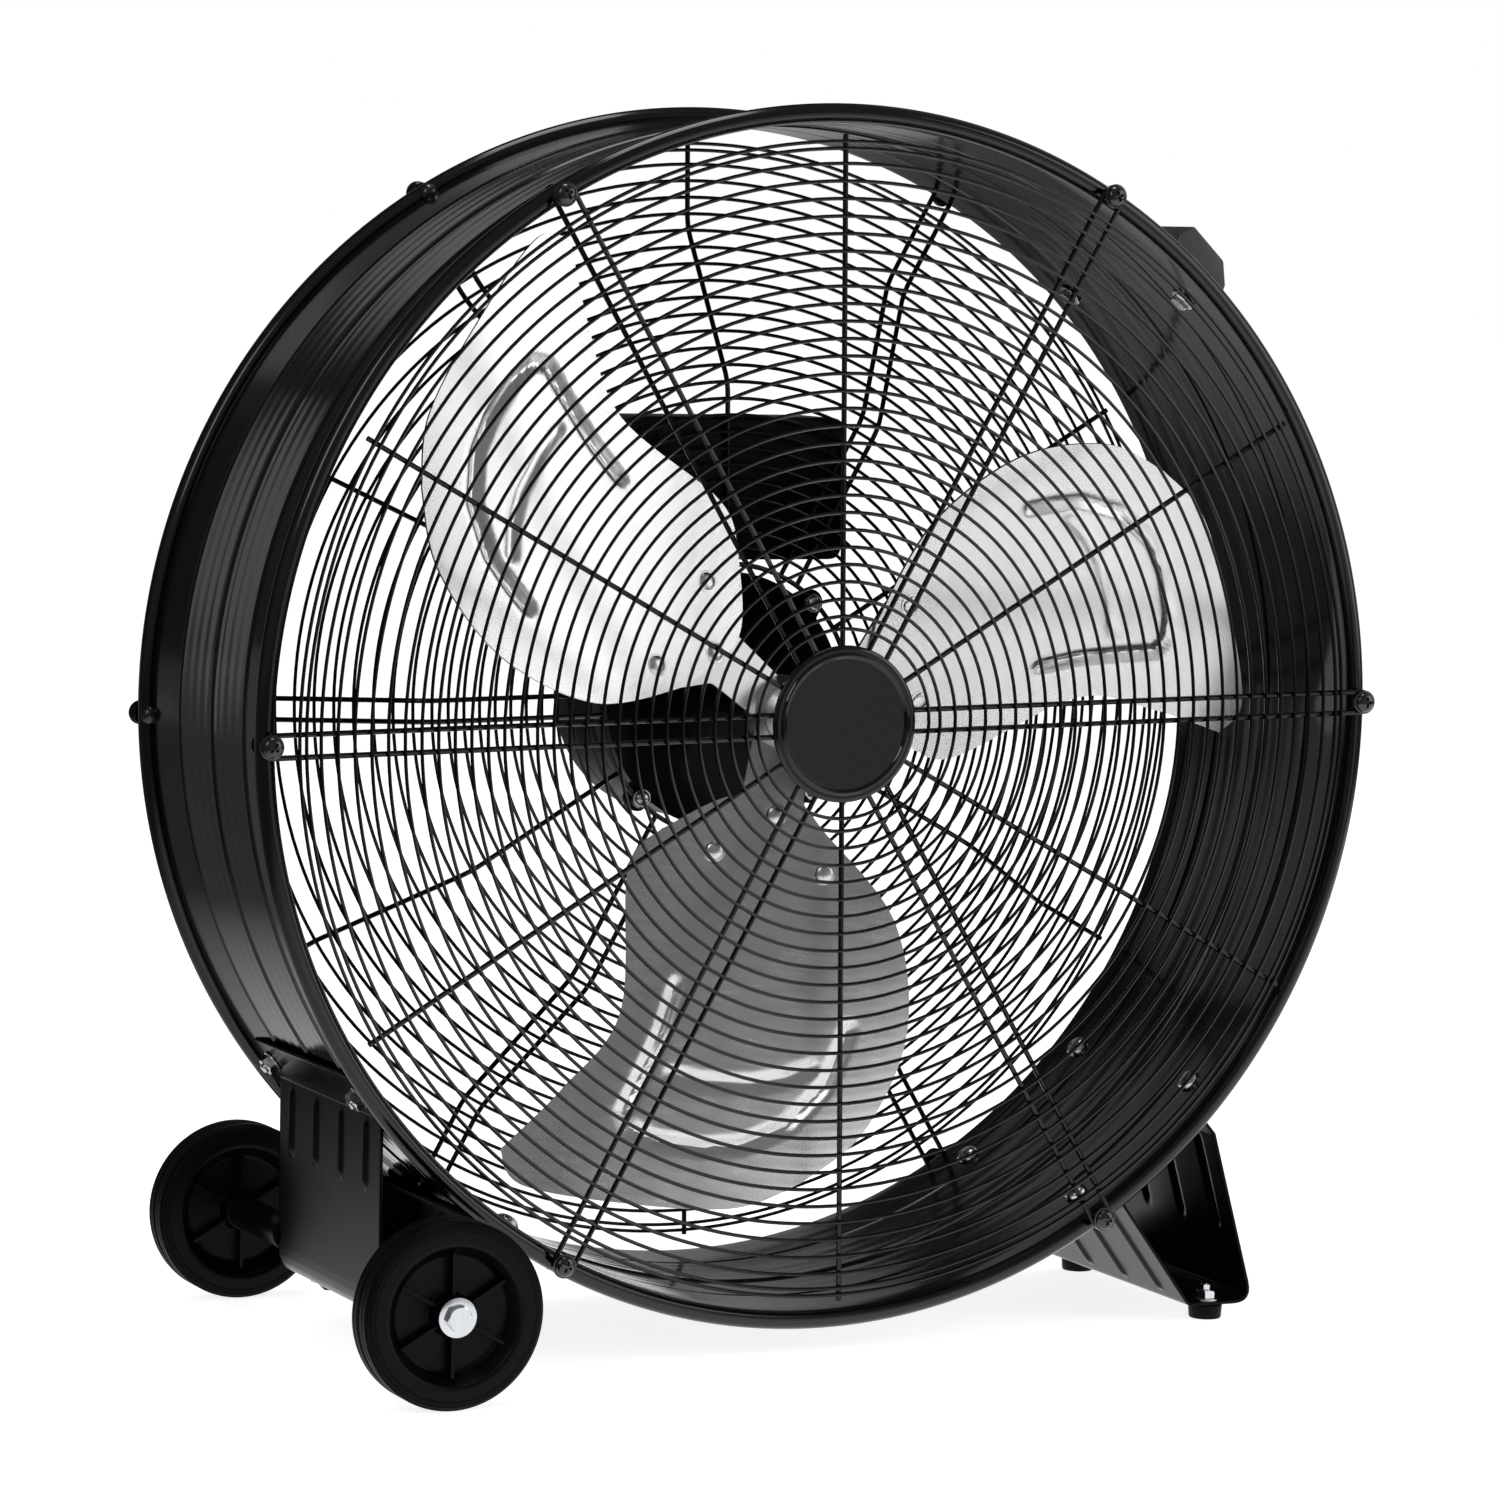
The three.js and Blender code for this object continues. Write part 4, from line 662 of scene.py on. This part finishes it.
def build_motor():
    """The totally enclosed motor behind the blades."""
    piece("motor_mounting_plate", flange_plate(74, 49.5, 51.5), BRACKET_COAT, "motor_plate",
          bevel=0.4)
    front = on_axis(rounded([(17, 54.4), (72.5, 54.4), (72.5, 75.8), (15.5, 75.8)],
                            [0, 0.5, 1.2, 0], 3) + [(15.5, 54.4)])
    piece("motor_front_end_bell", joined(flange_plate(72.5, 51.8, 54.4), front), CAST_PAINT,
          "motor_front_bell")
    lines = [(0, 76.1)]
    for y in np.arange(77.1, 109, 2.0):
        lines += [(72.4, y - 0.7), (72.4, y + 0.7), (71.9, y + 0.9), (71.9, y + 1.1)]
    piece("motor_laminated_can", on_axis(lines + [(72.4, 110.1), (0, 110.1)]), BRACKET_COAT,
          "motor_can")
    back = rounded([(0, 110.4), (72.5, 110.4), (72.5, 131.4), (65.5, 138), (30, 138), (26, 135.6),
                    (22, 138.2), (0, 138.2)], [0, 0.5, 2, 2, 1, 1, 1, 0], 4)
    rib = prism([(27, -1.1), (64, -1.1), (64, 1.1), (27, 1.1)], 134.5, 138.4)
    ribs = [across_drum(placed(rib, roll=22.5 * k)) for k in range(16)]
    piece("motor_rear_end_bell", joined(on_axis(back), *ribs), CAST_PAINT, "motor_rear_bell")
    for k in range(4):
        screw = joined(placed(joined(washer(2.3, 5.4, 0.9), dome(4.6, 2.6, 0.9)), (0, 0, 2), DOWN),
                       placed(hex_head(5.2, 3), (0, 0, 11)), rod(2.2, 0, 16))
        at = round_axis(MOTOR_SCREW, motor_screw_angle(k), 43.2)
        piece(f"motor_through_screw_{k + 1}", placed(screw, at, BACK), ZINC,
              f"motor_screw_{k + 1}")


# ---- the switch box, its knob and the cord gland ------------------------------------
def soft_box(corner, y0, y1, inset=0):
    """A slice of the switch box with round corners, between two places along Y."""
    x0, x1, z0, z1 = (side + way * inset for side, way in zip(SWITCH_BOX, (1, -1, 1, -1)))
    outline = rounded([(x0, z0), (x1, z0), (x1, z1), (x0, z1)], corner, 6)
    points, faces = prism(outline, y0, y1)
    return points[:, [0, 2, 1]], faces


def build_switch_box():
    """The moulded box behind the guard, with its lid, speed knob and gland."""
    body = joined(soft_box(8, 52.2, 96), soft_box(7, 95, 98, inset=3))
    piece("moulded_switch_box", body, TEXTURED_NYLON, "switch_box", bevel=1.0)
    drill = turned([(0, 0), (3.4, 0), (3.4, 3), (0, 3)], 28)
    sunk = [placed(drill, (x, 50.2, z), FRONT) for x, z in LID_SCREWS]
    lid = carved(soft_box(8, 49.5, 51.9), joined(*sunk))
    heads = [placed(dome(3.2, 0.5), (x, 50.3, z), FRONT) for x, z in LID_SCREWS]
    piece("switch_box_cover", joined(lid, *heads), TEXTURED_NYLON, "switch_box_lid",
          bevel=0.3)
    grip = []
    for degrees in np.arange(0, 360, 5):
        turn = math.radians(degrees)
        reach = 15 - 0.7 * (0.5 + 0.5 * math.cos(18 * turn))
        grip.append((reach * math.cos(turn), reach * math.sin(turn)))
    knob = loft([[(x * s, y * s, z) for x, y in grip] for s, z in
                 ((1, 0), (1, 4), (0.94, 14), (0.9, 15.4), (0.84, 16))])
    pointer = prism(rounded([(-2, -12), (2, -12), (1.4, 12), (-1.4, 12)], 0.8, 2), 15.5, 17.5)
    piece("speed_control_knob", placed(joined(knob, pointer), (10, 98.3, 473.5), BACK, roll=180),
          TEXTURED_NYLON, "speed_knob", body="speed_knob", bevel=0.3)
    gland = joined(hex_head(8, 5), turned(rounded([(3.5, 4), (7, 4), (6.4, 9), (3.5, 9)], 0.8, 3),
                                          40, closed=True))
    piece("cord_gland_nut", placed(gland, (70.3, 75, 471), (1, 0, 0)), TEXTURED_NYLON,
          "cord_gland")


# ---- the handle ---------------------------------------------------------------------
def build_handle():
    """The moulded carrying handle, bolted through the drum."""
    right = [(42, 373), (58, 351), (82, 345), (86, 331.6), (46, 331.6), (43, 349), (34, 359)]
    side = rounded(right + [(-y, r) for y, r in reversed(right)],
                   [4, 7, 5, 0, 0, 5, 7, 7, 5, 0, 0, 5, 7, 4], 5)
    arch = prism([(r, y) for y, r in side], -21, 21)
    section = rounded([(320, -21), (360, -21), (378, -11), (378, 11), (360, 21), (320, 21)],
                      [0, 2, 0, 0, 2, 0], 4)
    points, faces = prism(section, -100, 100)
    across = (points[:, [0, 2, 1]], faces)
    points, faces = carved(arch, across, "INTERSECT")
    out, side = np.array(outward(HANDLE_ANGLE)), np.array(outward(HANDLE_ANGLE + 90))
    points = (points[:, :1] * out + points[:, 2:] * side + points[:, 1:2] * np.array((0, 1, 0))
              + (0, 0, AXIS_Z))
    piece("moulded_carrying_handle", (points, faces), GRIP_PLASTIC, "handle_grip",
          bevel=0.9)
    bolt = joined(washer(3.2, 7.6, 1.2), hex_head(5.6, 3.2, 1.2), rod(3, -12, 1.3))
    for name, sign in ENDS:
        at = round_axis(BOLT_SEAT, HANDLE_ANGLE, sign * HANDLE_BOLT_Y)
        piece(f"handle_hex_bolt_{name}", placed(bolt, at, -out, 12), ZINC,
              f"handle_bolt_{name}")


# ---- the folded brackets ------------------------------------------------------------
def on_flange(degrees):
    """A point on a bracket's flange, in X and Z."""
    x, _, z = round_axis(FLANGE, degrees)
    return (x, z)


def folded(line, radii, half):
    """A grid of points on a sheet folded along a line and running across the drum."""
    path = np.array(rounded(line, radii, 6, closed=False))
    steps = np.concatenate([[0], np.cumsum(np.linalg.norm(np.diff(path, axis=0), axis=1))])
    along = np.unique(np.concatenate([steps, np.arange(0, steps[-1], 1.6)]))
    x, z = np.interp(along, steps, path[:, 0]), np.interp(along, steps, path[:, 1])
    across = np.linspace(-half, half, int(half * 1.25))
    return np.stack([np.repeat(x[:, None], len(across), 1),
                     np.repeat(across[None], len(x), 0),
                     np.repeat(z[:, None], len(across), 1)], 2)


def leg_point(top, foot, share, y):
    """A point on a straight leg of a bracket, a share of the way from its top."""
    return (top[0] + (foot[0] - top[0]) * share, y, top[1] + (foot[1] - top[1]) * share)


def bracket_bolts(side):
    """A dome bolt inside the drum and a nut outside, where the CAD has each of the four."""
    for k in range(4):
        low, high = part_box(f"{side}_bracket_bolt_{k + 1}")
        centre = [(a + b) / 2 / MM for a, b in zip(low, high)]
        angle = math.degrees(math.atan2(centre[2] - AXIS_Z, centre[0]))
        nut = placed(joined(washer(3.2, 6.8, 0.8), placed(NUT_FACE, (0, 0, 0.8)),
                            rod(3, -8, 7.6)), round_axis(334.4, angle, centre[1]), outward(angle))
        head = placed(dome(7, 4.6, recess=False), round_axis(BOLT_SEAT, angle, centre[1]),
                      tuple(-c for c in outward(angle)), roll=25 * k)
        piece(f"{side}_bracket_nut_{k + 1}", nut, ZINC, f"{side}_bracket_bolt_{k + 1}")
        piece(f"{side}_bracket_dome_{k + 1}", head, ZINC, f"{side}_bracket_bolt_{k + 1}")


def build_brackets():
    """The wheel bracket and the foot bracket, each a folded channel with pressed ribs."""
    # Each line runs from flange to flange; toe and heel are the corners of the base.
    toe, heel, inner_top = (-257.2, 28.9), (-214, 28.9), on_flange(-125.6)
    line = [on_flange(-145.3), on_flange(-143), on_flange(-140.6), toe, heel, inner_top,
            on_flange(-123), on_flange(-120.6)]
    grid = folded(line, [0, 3, 4, 16, 6, 4, 3, 0], 77.5)
    outer = [[(toe[0], y, z) for z in (134, 103)] for y in (-56, -18, 20, 58)]
    inner = [[leg_point(inner_top, heel, s, y) for s in (0.2, 0.75)] for y in (-50, -17, 17, 50)]
    sheet = plate(pressed(grid, outer + inner, 4.5, -1.8), SHEET)
    piece("folded_wheel_bracket", sheet, BRACKET_COAT, "wheel_bracket", bevel=0.35)
    knee, toe, heel, inner_top = (255.5, 109), (284, 9.4), (242, 9.4), on_flange(-55.2)
    line = [on_flange(-38.6), on_flange(-41), on_flange(-43.4), knee, toe, heel, inner_top,
            on_flange(-57.7), on_flange(-60.2)]
    grid = folded(line, [0, 3, 3, 2, 9, 6, 4, 3, 0], 86)
    outer = [[leg_point(knee, toe, s, y) for s in (0.05, 0.55)] for y in (-66, -25, 16, 57)]
    inner = [[leg_point(inner_top, heel, s, y) for s in (0.12, 0.87)] for y in (-62, -20, 22, 64)]
    sheet = plate(pressed(grid, outer + inner, 5, 1.8), SHEET)
    piece("folded_foot_bracket", sheet, BRACKET_COAT, "foot_bracket", bevel=0.35)
    bracket_bolts("wheel")
    bracket_bolts("foot")


def build_clamp_screws():
    """Small hex screws that hold the axle's clamp through the bracket's base."""
    screw = joined(washer(2.2, 5.6, 0.8), hex_head(4.4, 2.8, 0.8), rod(2.2, -5, 1))
    for name, sign in ENDS:
        piece(f"axle_clamp_screw_{name}", placed(screw, (-238, 66 * sign, 28), DOWN, roll=14),
              ZINC, "")


def build_feet():
    """Tapered rubber feet, each held by a bolt through the bracket's base."""
    foot = turned(rounded([(0, 0), (9.3, 0), (10, 8.2), (0, 8.2)], [0, 1, 1, 0], 3), 48)
    bolt = joined(washer(3.2, 8, 1), placed(NUT_FACE, (0, 0, 1)), rod(3, -6, 9.7))
    for name, sign in ENDS:
        y = sign * FOOT_Y
        piece(f"rubber_foot_{name}", placed(foot, (FOOT_X, y, 0)), RUBBER, f"foot_{name}")
        piece(f"foot_hex_nut_{name}", placed(bolt, (FOOT_X, y, 10.3)), ZINC,
              f"foot_bolt_{name}")


# ---- the wheels and their axle ------------------------------------------------------
def build_wheels():
    """Two moulded wheels with rubber tyres on a sleeved axle."""
    half = rounded([(5.6, 12.2), (10.4, 12.2), (12, 2), (31.5, 2), (37.8, 12.1), (45.3, 11.8)],
                   [0, 0.8, 1, 4, 4, 0], 6, closed=False)
    rim = turned(mirrored(half), 120, closed=True)
    rib = placed(prism([(10, -8), (33.5, -8), (33.5, 8), (10, 8)], -0.9, 0.9), toward=FRONT)
    ribs = [placed(rib, roll=30 + 60 * k) for k in range(6)]
    side = [(45.4, 11.7), (47.6, 11.5), (48.1, 10.8), (48.6, 11.1), (49.4, 10.4), (49.7, 9.6),
            (50.2, 9.8), (50.8, 8.8), (50.8, 6.4), (50, 5.8), (50.8, 5.2), (50.8, 2.2), (50, 1.6)]
    tyre = turned(rounded(mirrored(side), 0.3, 2), 144, closed=True)
    bolt = joined(washer(2.6, 10.8, 1.5), hex_head(7.3, 4.1, 1.5), rod(2.5, -15, 2))
    for name, sign in ENDS:
        way = (0, sign, 0)
        centre = (AXLE[0], sign * WHEEL_Y, AXLE[2])
        piece(f"moulded_wheel_{name}", placed(joined(rim, *ribs), centre, way), TEXTURED_NYLON,
              f"wheel_{name}", body=f"wheel_{name}")
        piece(f"rubber_tyre_{name}", placed(tyre, centre, way), RUBBER, f"tyre_{name}",
              body=f"wheel_{name}")
        at = (AXLE[0], sign * (AXLE_HALF + 0.4), AXLE[2])
        piece(f"axle_hex_bolt_{name}", placed(bolt, at, way, roll=8), ZINC, f"axle_bolt_{name}")
    sleeve = turned(rounded([(4.4, 77.8), (9.5, 77.8), (9.5, 149.7), (4.4, 149.7)], 0.8, 3), 48,
                    closed=True)
    sleeves = [placed(sleeve, AXLE, (0, sign, 0)) for sign in (-1, 1)]
    bar = turned([(0, -AXLE_HALF), (5, -AXLE_HALF), (5, AXLE_HALF), (0, AXLE_HALF)], 32)
    piece("axle_bar_and_sleeves", joined(placed(bar, AXLE, BACK), *sleeves), BRACKET_COAT, "axle")


def dress(node, material):
    """A CAD node that stays gets its finish."""
    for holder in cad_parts[node].material_slots:
        holder.material = material


# ---- studio: pale floor, soft lamps, the photograph's camera ------------------------
WHITE = linear("#ffffff")
CAMERA_WHITE = 1.0          # strength of the background that the camera sees
ROOM_LIGHT = 0.3            # strength of the even light on matt surfaces
PAINTED_POOL_CENTRE = (0.75, -0.45, 0)      # of the painted pool of light, a glowing patch of floor that only reflections show
# Each lamp: name, place, the point it is aimed at, sizes in metres, watts, roll in degrees.
LAMPS = [
    ("key_left", (-2.0, -1.7, 1.9), (0, 0, 0.4), (0.8, 1.2), 10, 0),
    ("soft_right", (2.15, -1.5, 1.15), (0, 0, 0.4), (1.7, 1.9), 19, 0),
    ("soft_front", (0.86, -2.0, 0.3), (0, 0, 0.3), (0.9, 0.8), 1.3, 0),
    ("top", (0.1, 0.0, 2.6), (0, 0, 0.3), (1.6, 0.7), 16, 0),
    ("rear_strip", (-1.42, 2.8, 0.78), (-0.3, 0, 0.4), (0.4, 1.75), 0.95, 20),
    ("rear_high", (-0.15, 2.8, 1.9), (-0.2, 0, 0.5), (2.3, 0.45), 1.2, 0),
    ("rear_low", (1.15, 2.8, 0.62), (0, 0, 0.1), (1.1, 1.1), 1.1, 0),
]


def lamp(name, at, target, size, watts, roll):
    """A soft box aimed at a point and rolled round its own line of sight."""
    data = bpy.data.lights.new(name, "AREA")
    data.shape, data.size, data.size_y, data.energy = "RECTANGLE", size[0], size[1], watts
    obj = bpy.data.objects.new(name, data)
    obj.location = at
    turn = (Vector(target) - Vector(at)).to_track_quat("-Z", "Y").to_matrix()
    obj.rotation_euler = (turn @ Matrix.Rotation(math.radians(roll), 3, "Z")).to_euler()
    bpy.context.collection.objects.link(obj)


def build_world():
    """White surroundings for the camera, a dimmer room for the object's reflections."""
    world = bpy.data.worlds.new("studio")
    tree = blank_tree(world)
    path = add_node(tree, "ShaderNodeLightPath")
    way = add_node(tree, "ShaderNodeTexCoord")
    axes = add_node(tree, "ShaderNodeSeparateXYZ", {0: way.outputs["Generated"]})
    # Reflections find the room dim in front, nearly dark behind and lit behind on the right.
    depth = add_node(tree, "ShaderNodeMapRange", {
        "Value": axes.outputs["Y"], "From Min": -0.3, "From Max": 0.6,
        "To Min": 0.23, "To Max": 0.03})
    aside = add_node(tree, "ShaderNodeMapRange", {
        "Value": axes.outputs["X"], "From Min": 0.4, "From Max": 0.8,
        "To Min": 0.0, "To Max": 0.5})
    behind = add_node(tree, "ShaderNodeMapRange", {
        "Value": axes.outputs["Y"], "From Min": 0.0, "From Max": 0.3})
    room = add_node(tree, "ShaderNodeMath", {
        0: aside.outputs[0], 1: behind.outputs[0], 2: depth.outputs[0]},
        operation="MULTIPLY_ADD")
    soft = add_node(tree, "ShaderNodeBackground", {"Color": WHITE, "Strength": ROOM_LIGHT})
    sheen = add_node(tree, "ShaderNodeBackground", {"Color": WHITE, "Strength": room.outputs[0]})
    seen = add_node(tree, "ShaderNodeBackground", {"Color": WHITE, "Strength": CAMERA_WHITE})
    light = add_node(tree, "ShaderNodeMixShader", {
        "Fac": path.outputs["Is Glossy Ray"], 1: soft.outputs[0], 2: sheen.outputs[0]})
    mix = add_node(tree, "ShaderNodeMixShader", {
        "Fac": path.outputs["Is Camera Ray"], 1: light.outputs[0], 2: seen.outputs[0]})
    add_node(tree, "ShaderNodeOutputWorld", {"Surface": mix.outputs[0]})
    bpy.context.scene.world = world


def floor_finish():
    """A pale matt floor that reads white to the camera, and shows a painted pool of light, a
    glowing patch, in reflections.
    """
    pale = bpy.data.materials.new("pale_studio_floor")
    tree = blank_tree(pale)
    path = add_node(tree, "ShaderNodeLightPath")
    seen = add_node(tree, "ShaderNodeMath", {
        0: path.outputs["Is Camera Ray"], 1: 0.84}, operation="MULTIPLY")
    matt = add_node(tree, "ShaderNodeBsdfDiffuse", {"Color": linear("#e4e4e4")})
    glow = add_node(tree, "ShaderNodeEmission", {"Color": WHITE, "Strength": seen.outputs[0]})
    both = add_node(tree, "ShaderNodeAddShader", {0: matt.outputs[0], 1: glow.outputs[0]})
    place = add_node(tree, "ShaderNodeTexCoord")
    away = add_node(tree, "ShaderNodeVectorMath", {
        0: place.outputs["Object"], 1: PAINTED_POOL_CENTRE}, operation="DISTANCE")
    # painted pool of light: for reflected rays the floor glows, brightest near the centre and
    # fading outward
    pool = add_node(tree, "ShaderNodeMapRange", {
        "Value": away.outputs["Value"], "From Min": 1.0, "From Max": 1.75,
        "To Min": 1.4, "To Max": 0.12})
    painted_pool_glow = add_node(tree, "ShaderNodeEmission", {"Color": WHITE, "Strength": pool.outputs[0]})
    mix = add_node(tree, "ShaderNodeMixShader", {
        "Fac": path.outputs["Is Glossy Ray"], 1: both.outputs[0], 2: painted_pool_glow.outputs[0]})
    add_node(tree, "ShaderNodeOutputMaterial", {"Surface": mix.outputs[0]})
    return pale


def build_studio():
    """The room, its floor and its lamps."""
    build_world()
    work = bmesh.new()
    bmesh.ops.create_grid(work, x_segments=2, y_segments=2, size=30)
    mesh = bpy.data.meshes.new("studio_floor")
    work.to_mesh(mesh)
    work.free()
    mesh.materials.append(floor_finish())
    floor = bpy.data.objects.new("studio_floor", mesh)
    floor.location = (0, 0, -0.5 * MM)
    bpy.context.collection.objects.link(floor)
    for settings in LAMPS:
        lamp(*settings)


def build_camera():
    """The photograph's own view, worked out from the drum's circles."""
    data = bpy.data.cameras.new("photo_camera")
    data.sensor_fit, data.sensor_width, data.lens = "HORIZONTAL", 36, 130.93
    camera = bpy.data.objects.new("photo_camera", data)
    turn = Matrix(((0.90421, 0.01869, -0.42667), (-0.42643, 0.09449, -0.89957),
                   (0.0235, 0.99535, 0.09341)))
    camera.matrix_world = Matrix.Translation((-1.329158, -2.788226, 0.618402)) @ turn.to_4x4()
    bpy.context.collection.objects.link(camera)
    bpy.context.scene.camera = camera


build_camera()
build_studio()
build_drum()
build_front_guard()
build_rear_guard()
build_guard_fixings()
build_impeller()
build_spider()
build_motor()
build_switch_box()
build_handle()
build_brackets()
build_clamp_screws()
build_feet()
build_wheels()
dress("motor_shaft", TURNED_STEEL)
dress("front_bearing", TURNED_STEEL)
dress("rear_bearing", TURNED_STEEL)
dress("axle_clamp", TEXTURED_NYLON)
bpy.context.scene.view_settings.view_transform = "Standard"
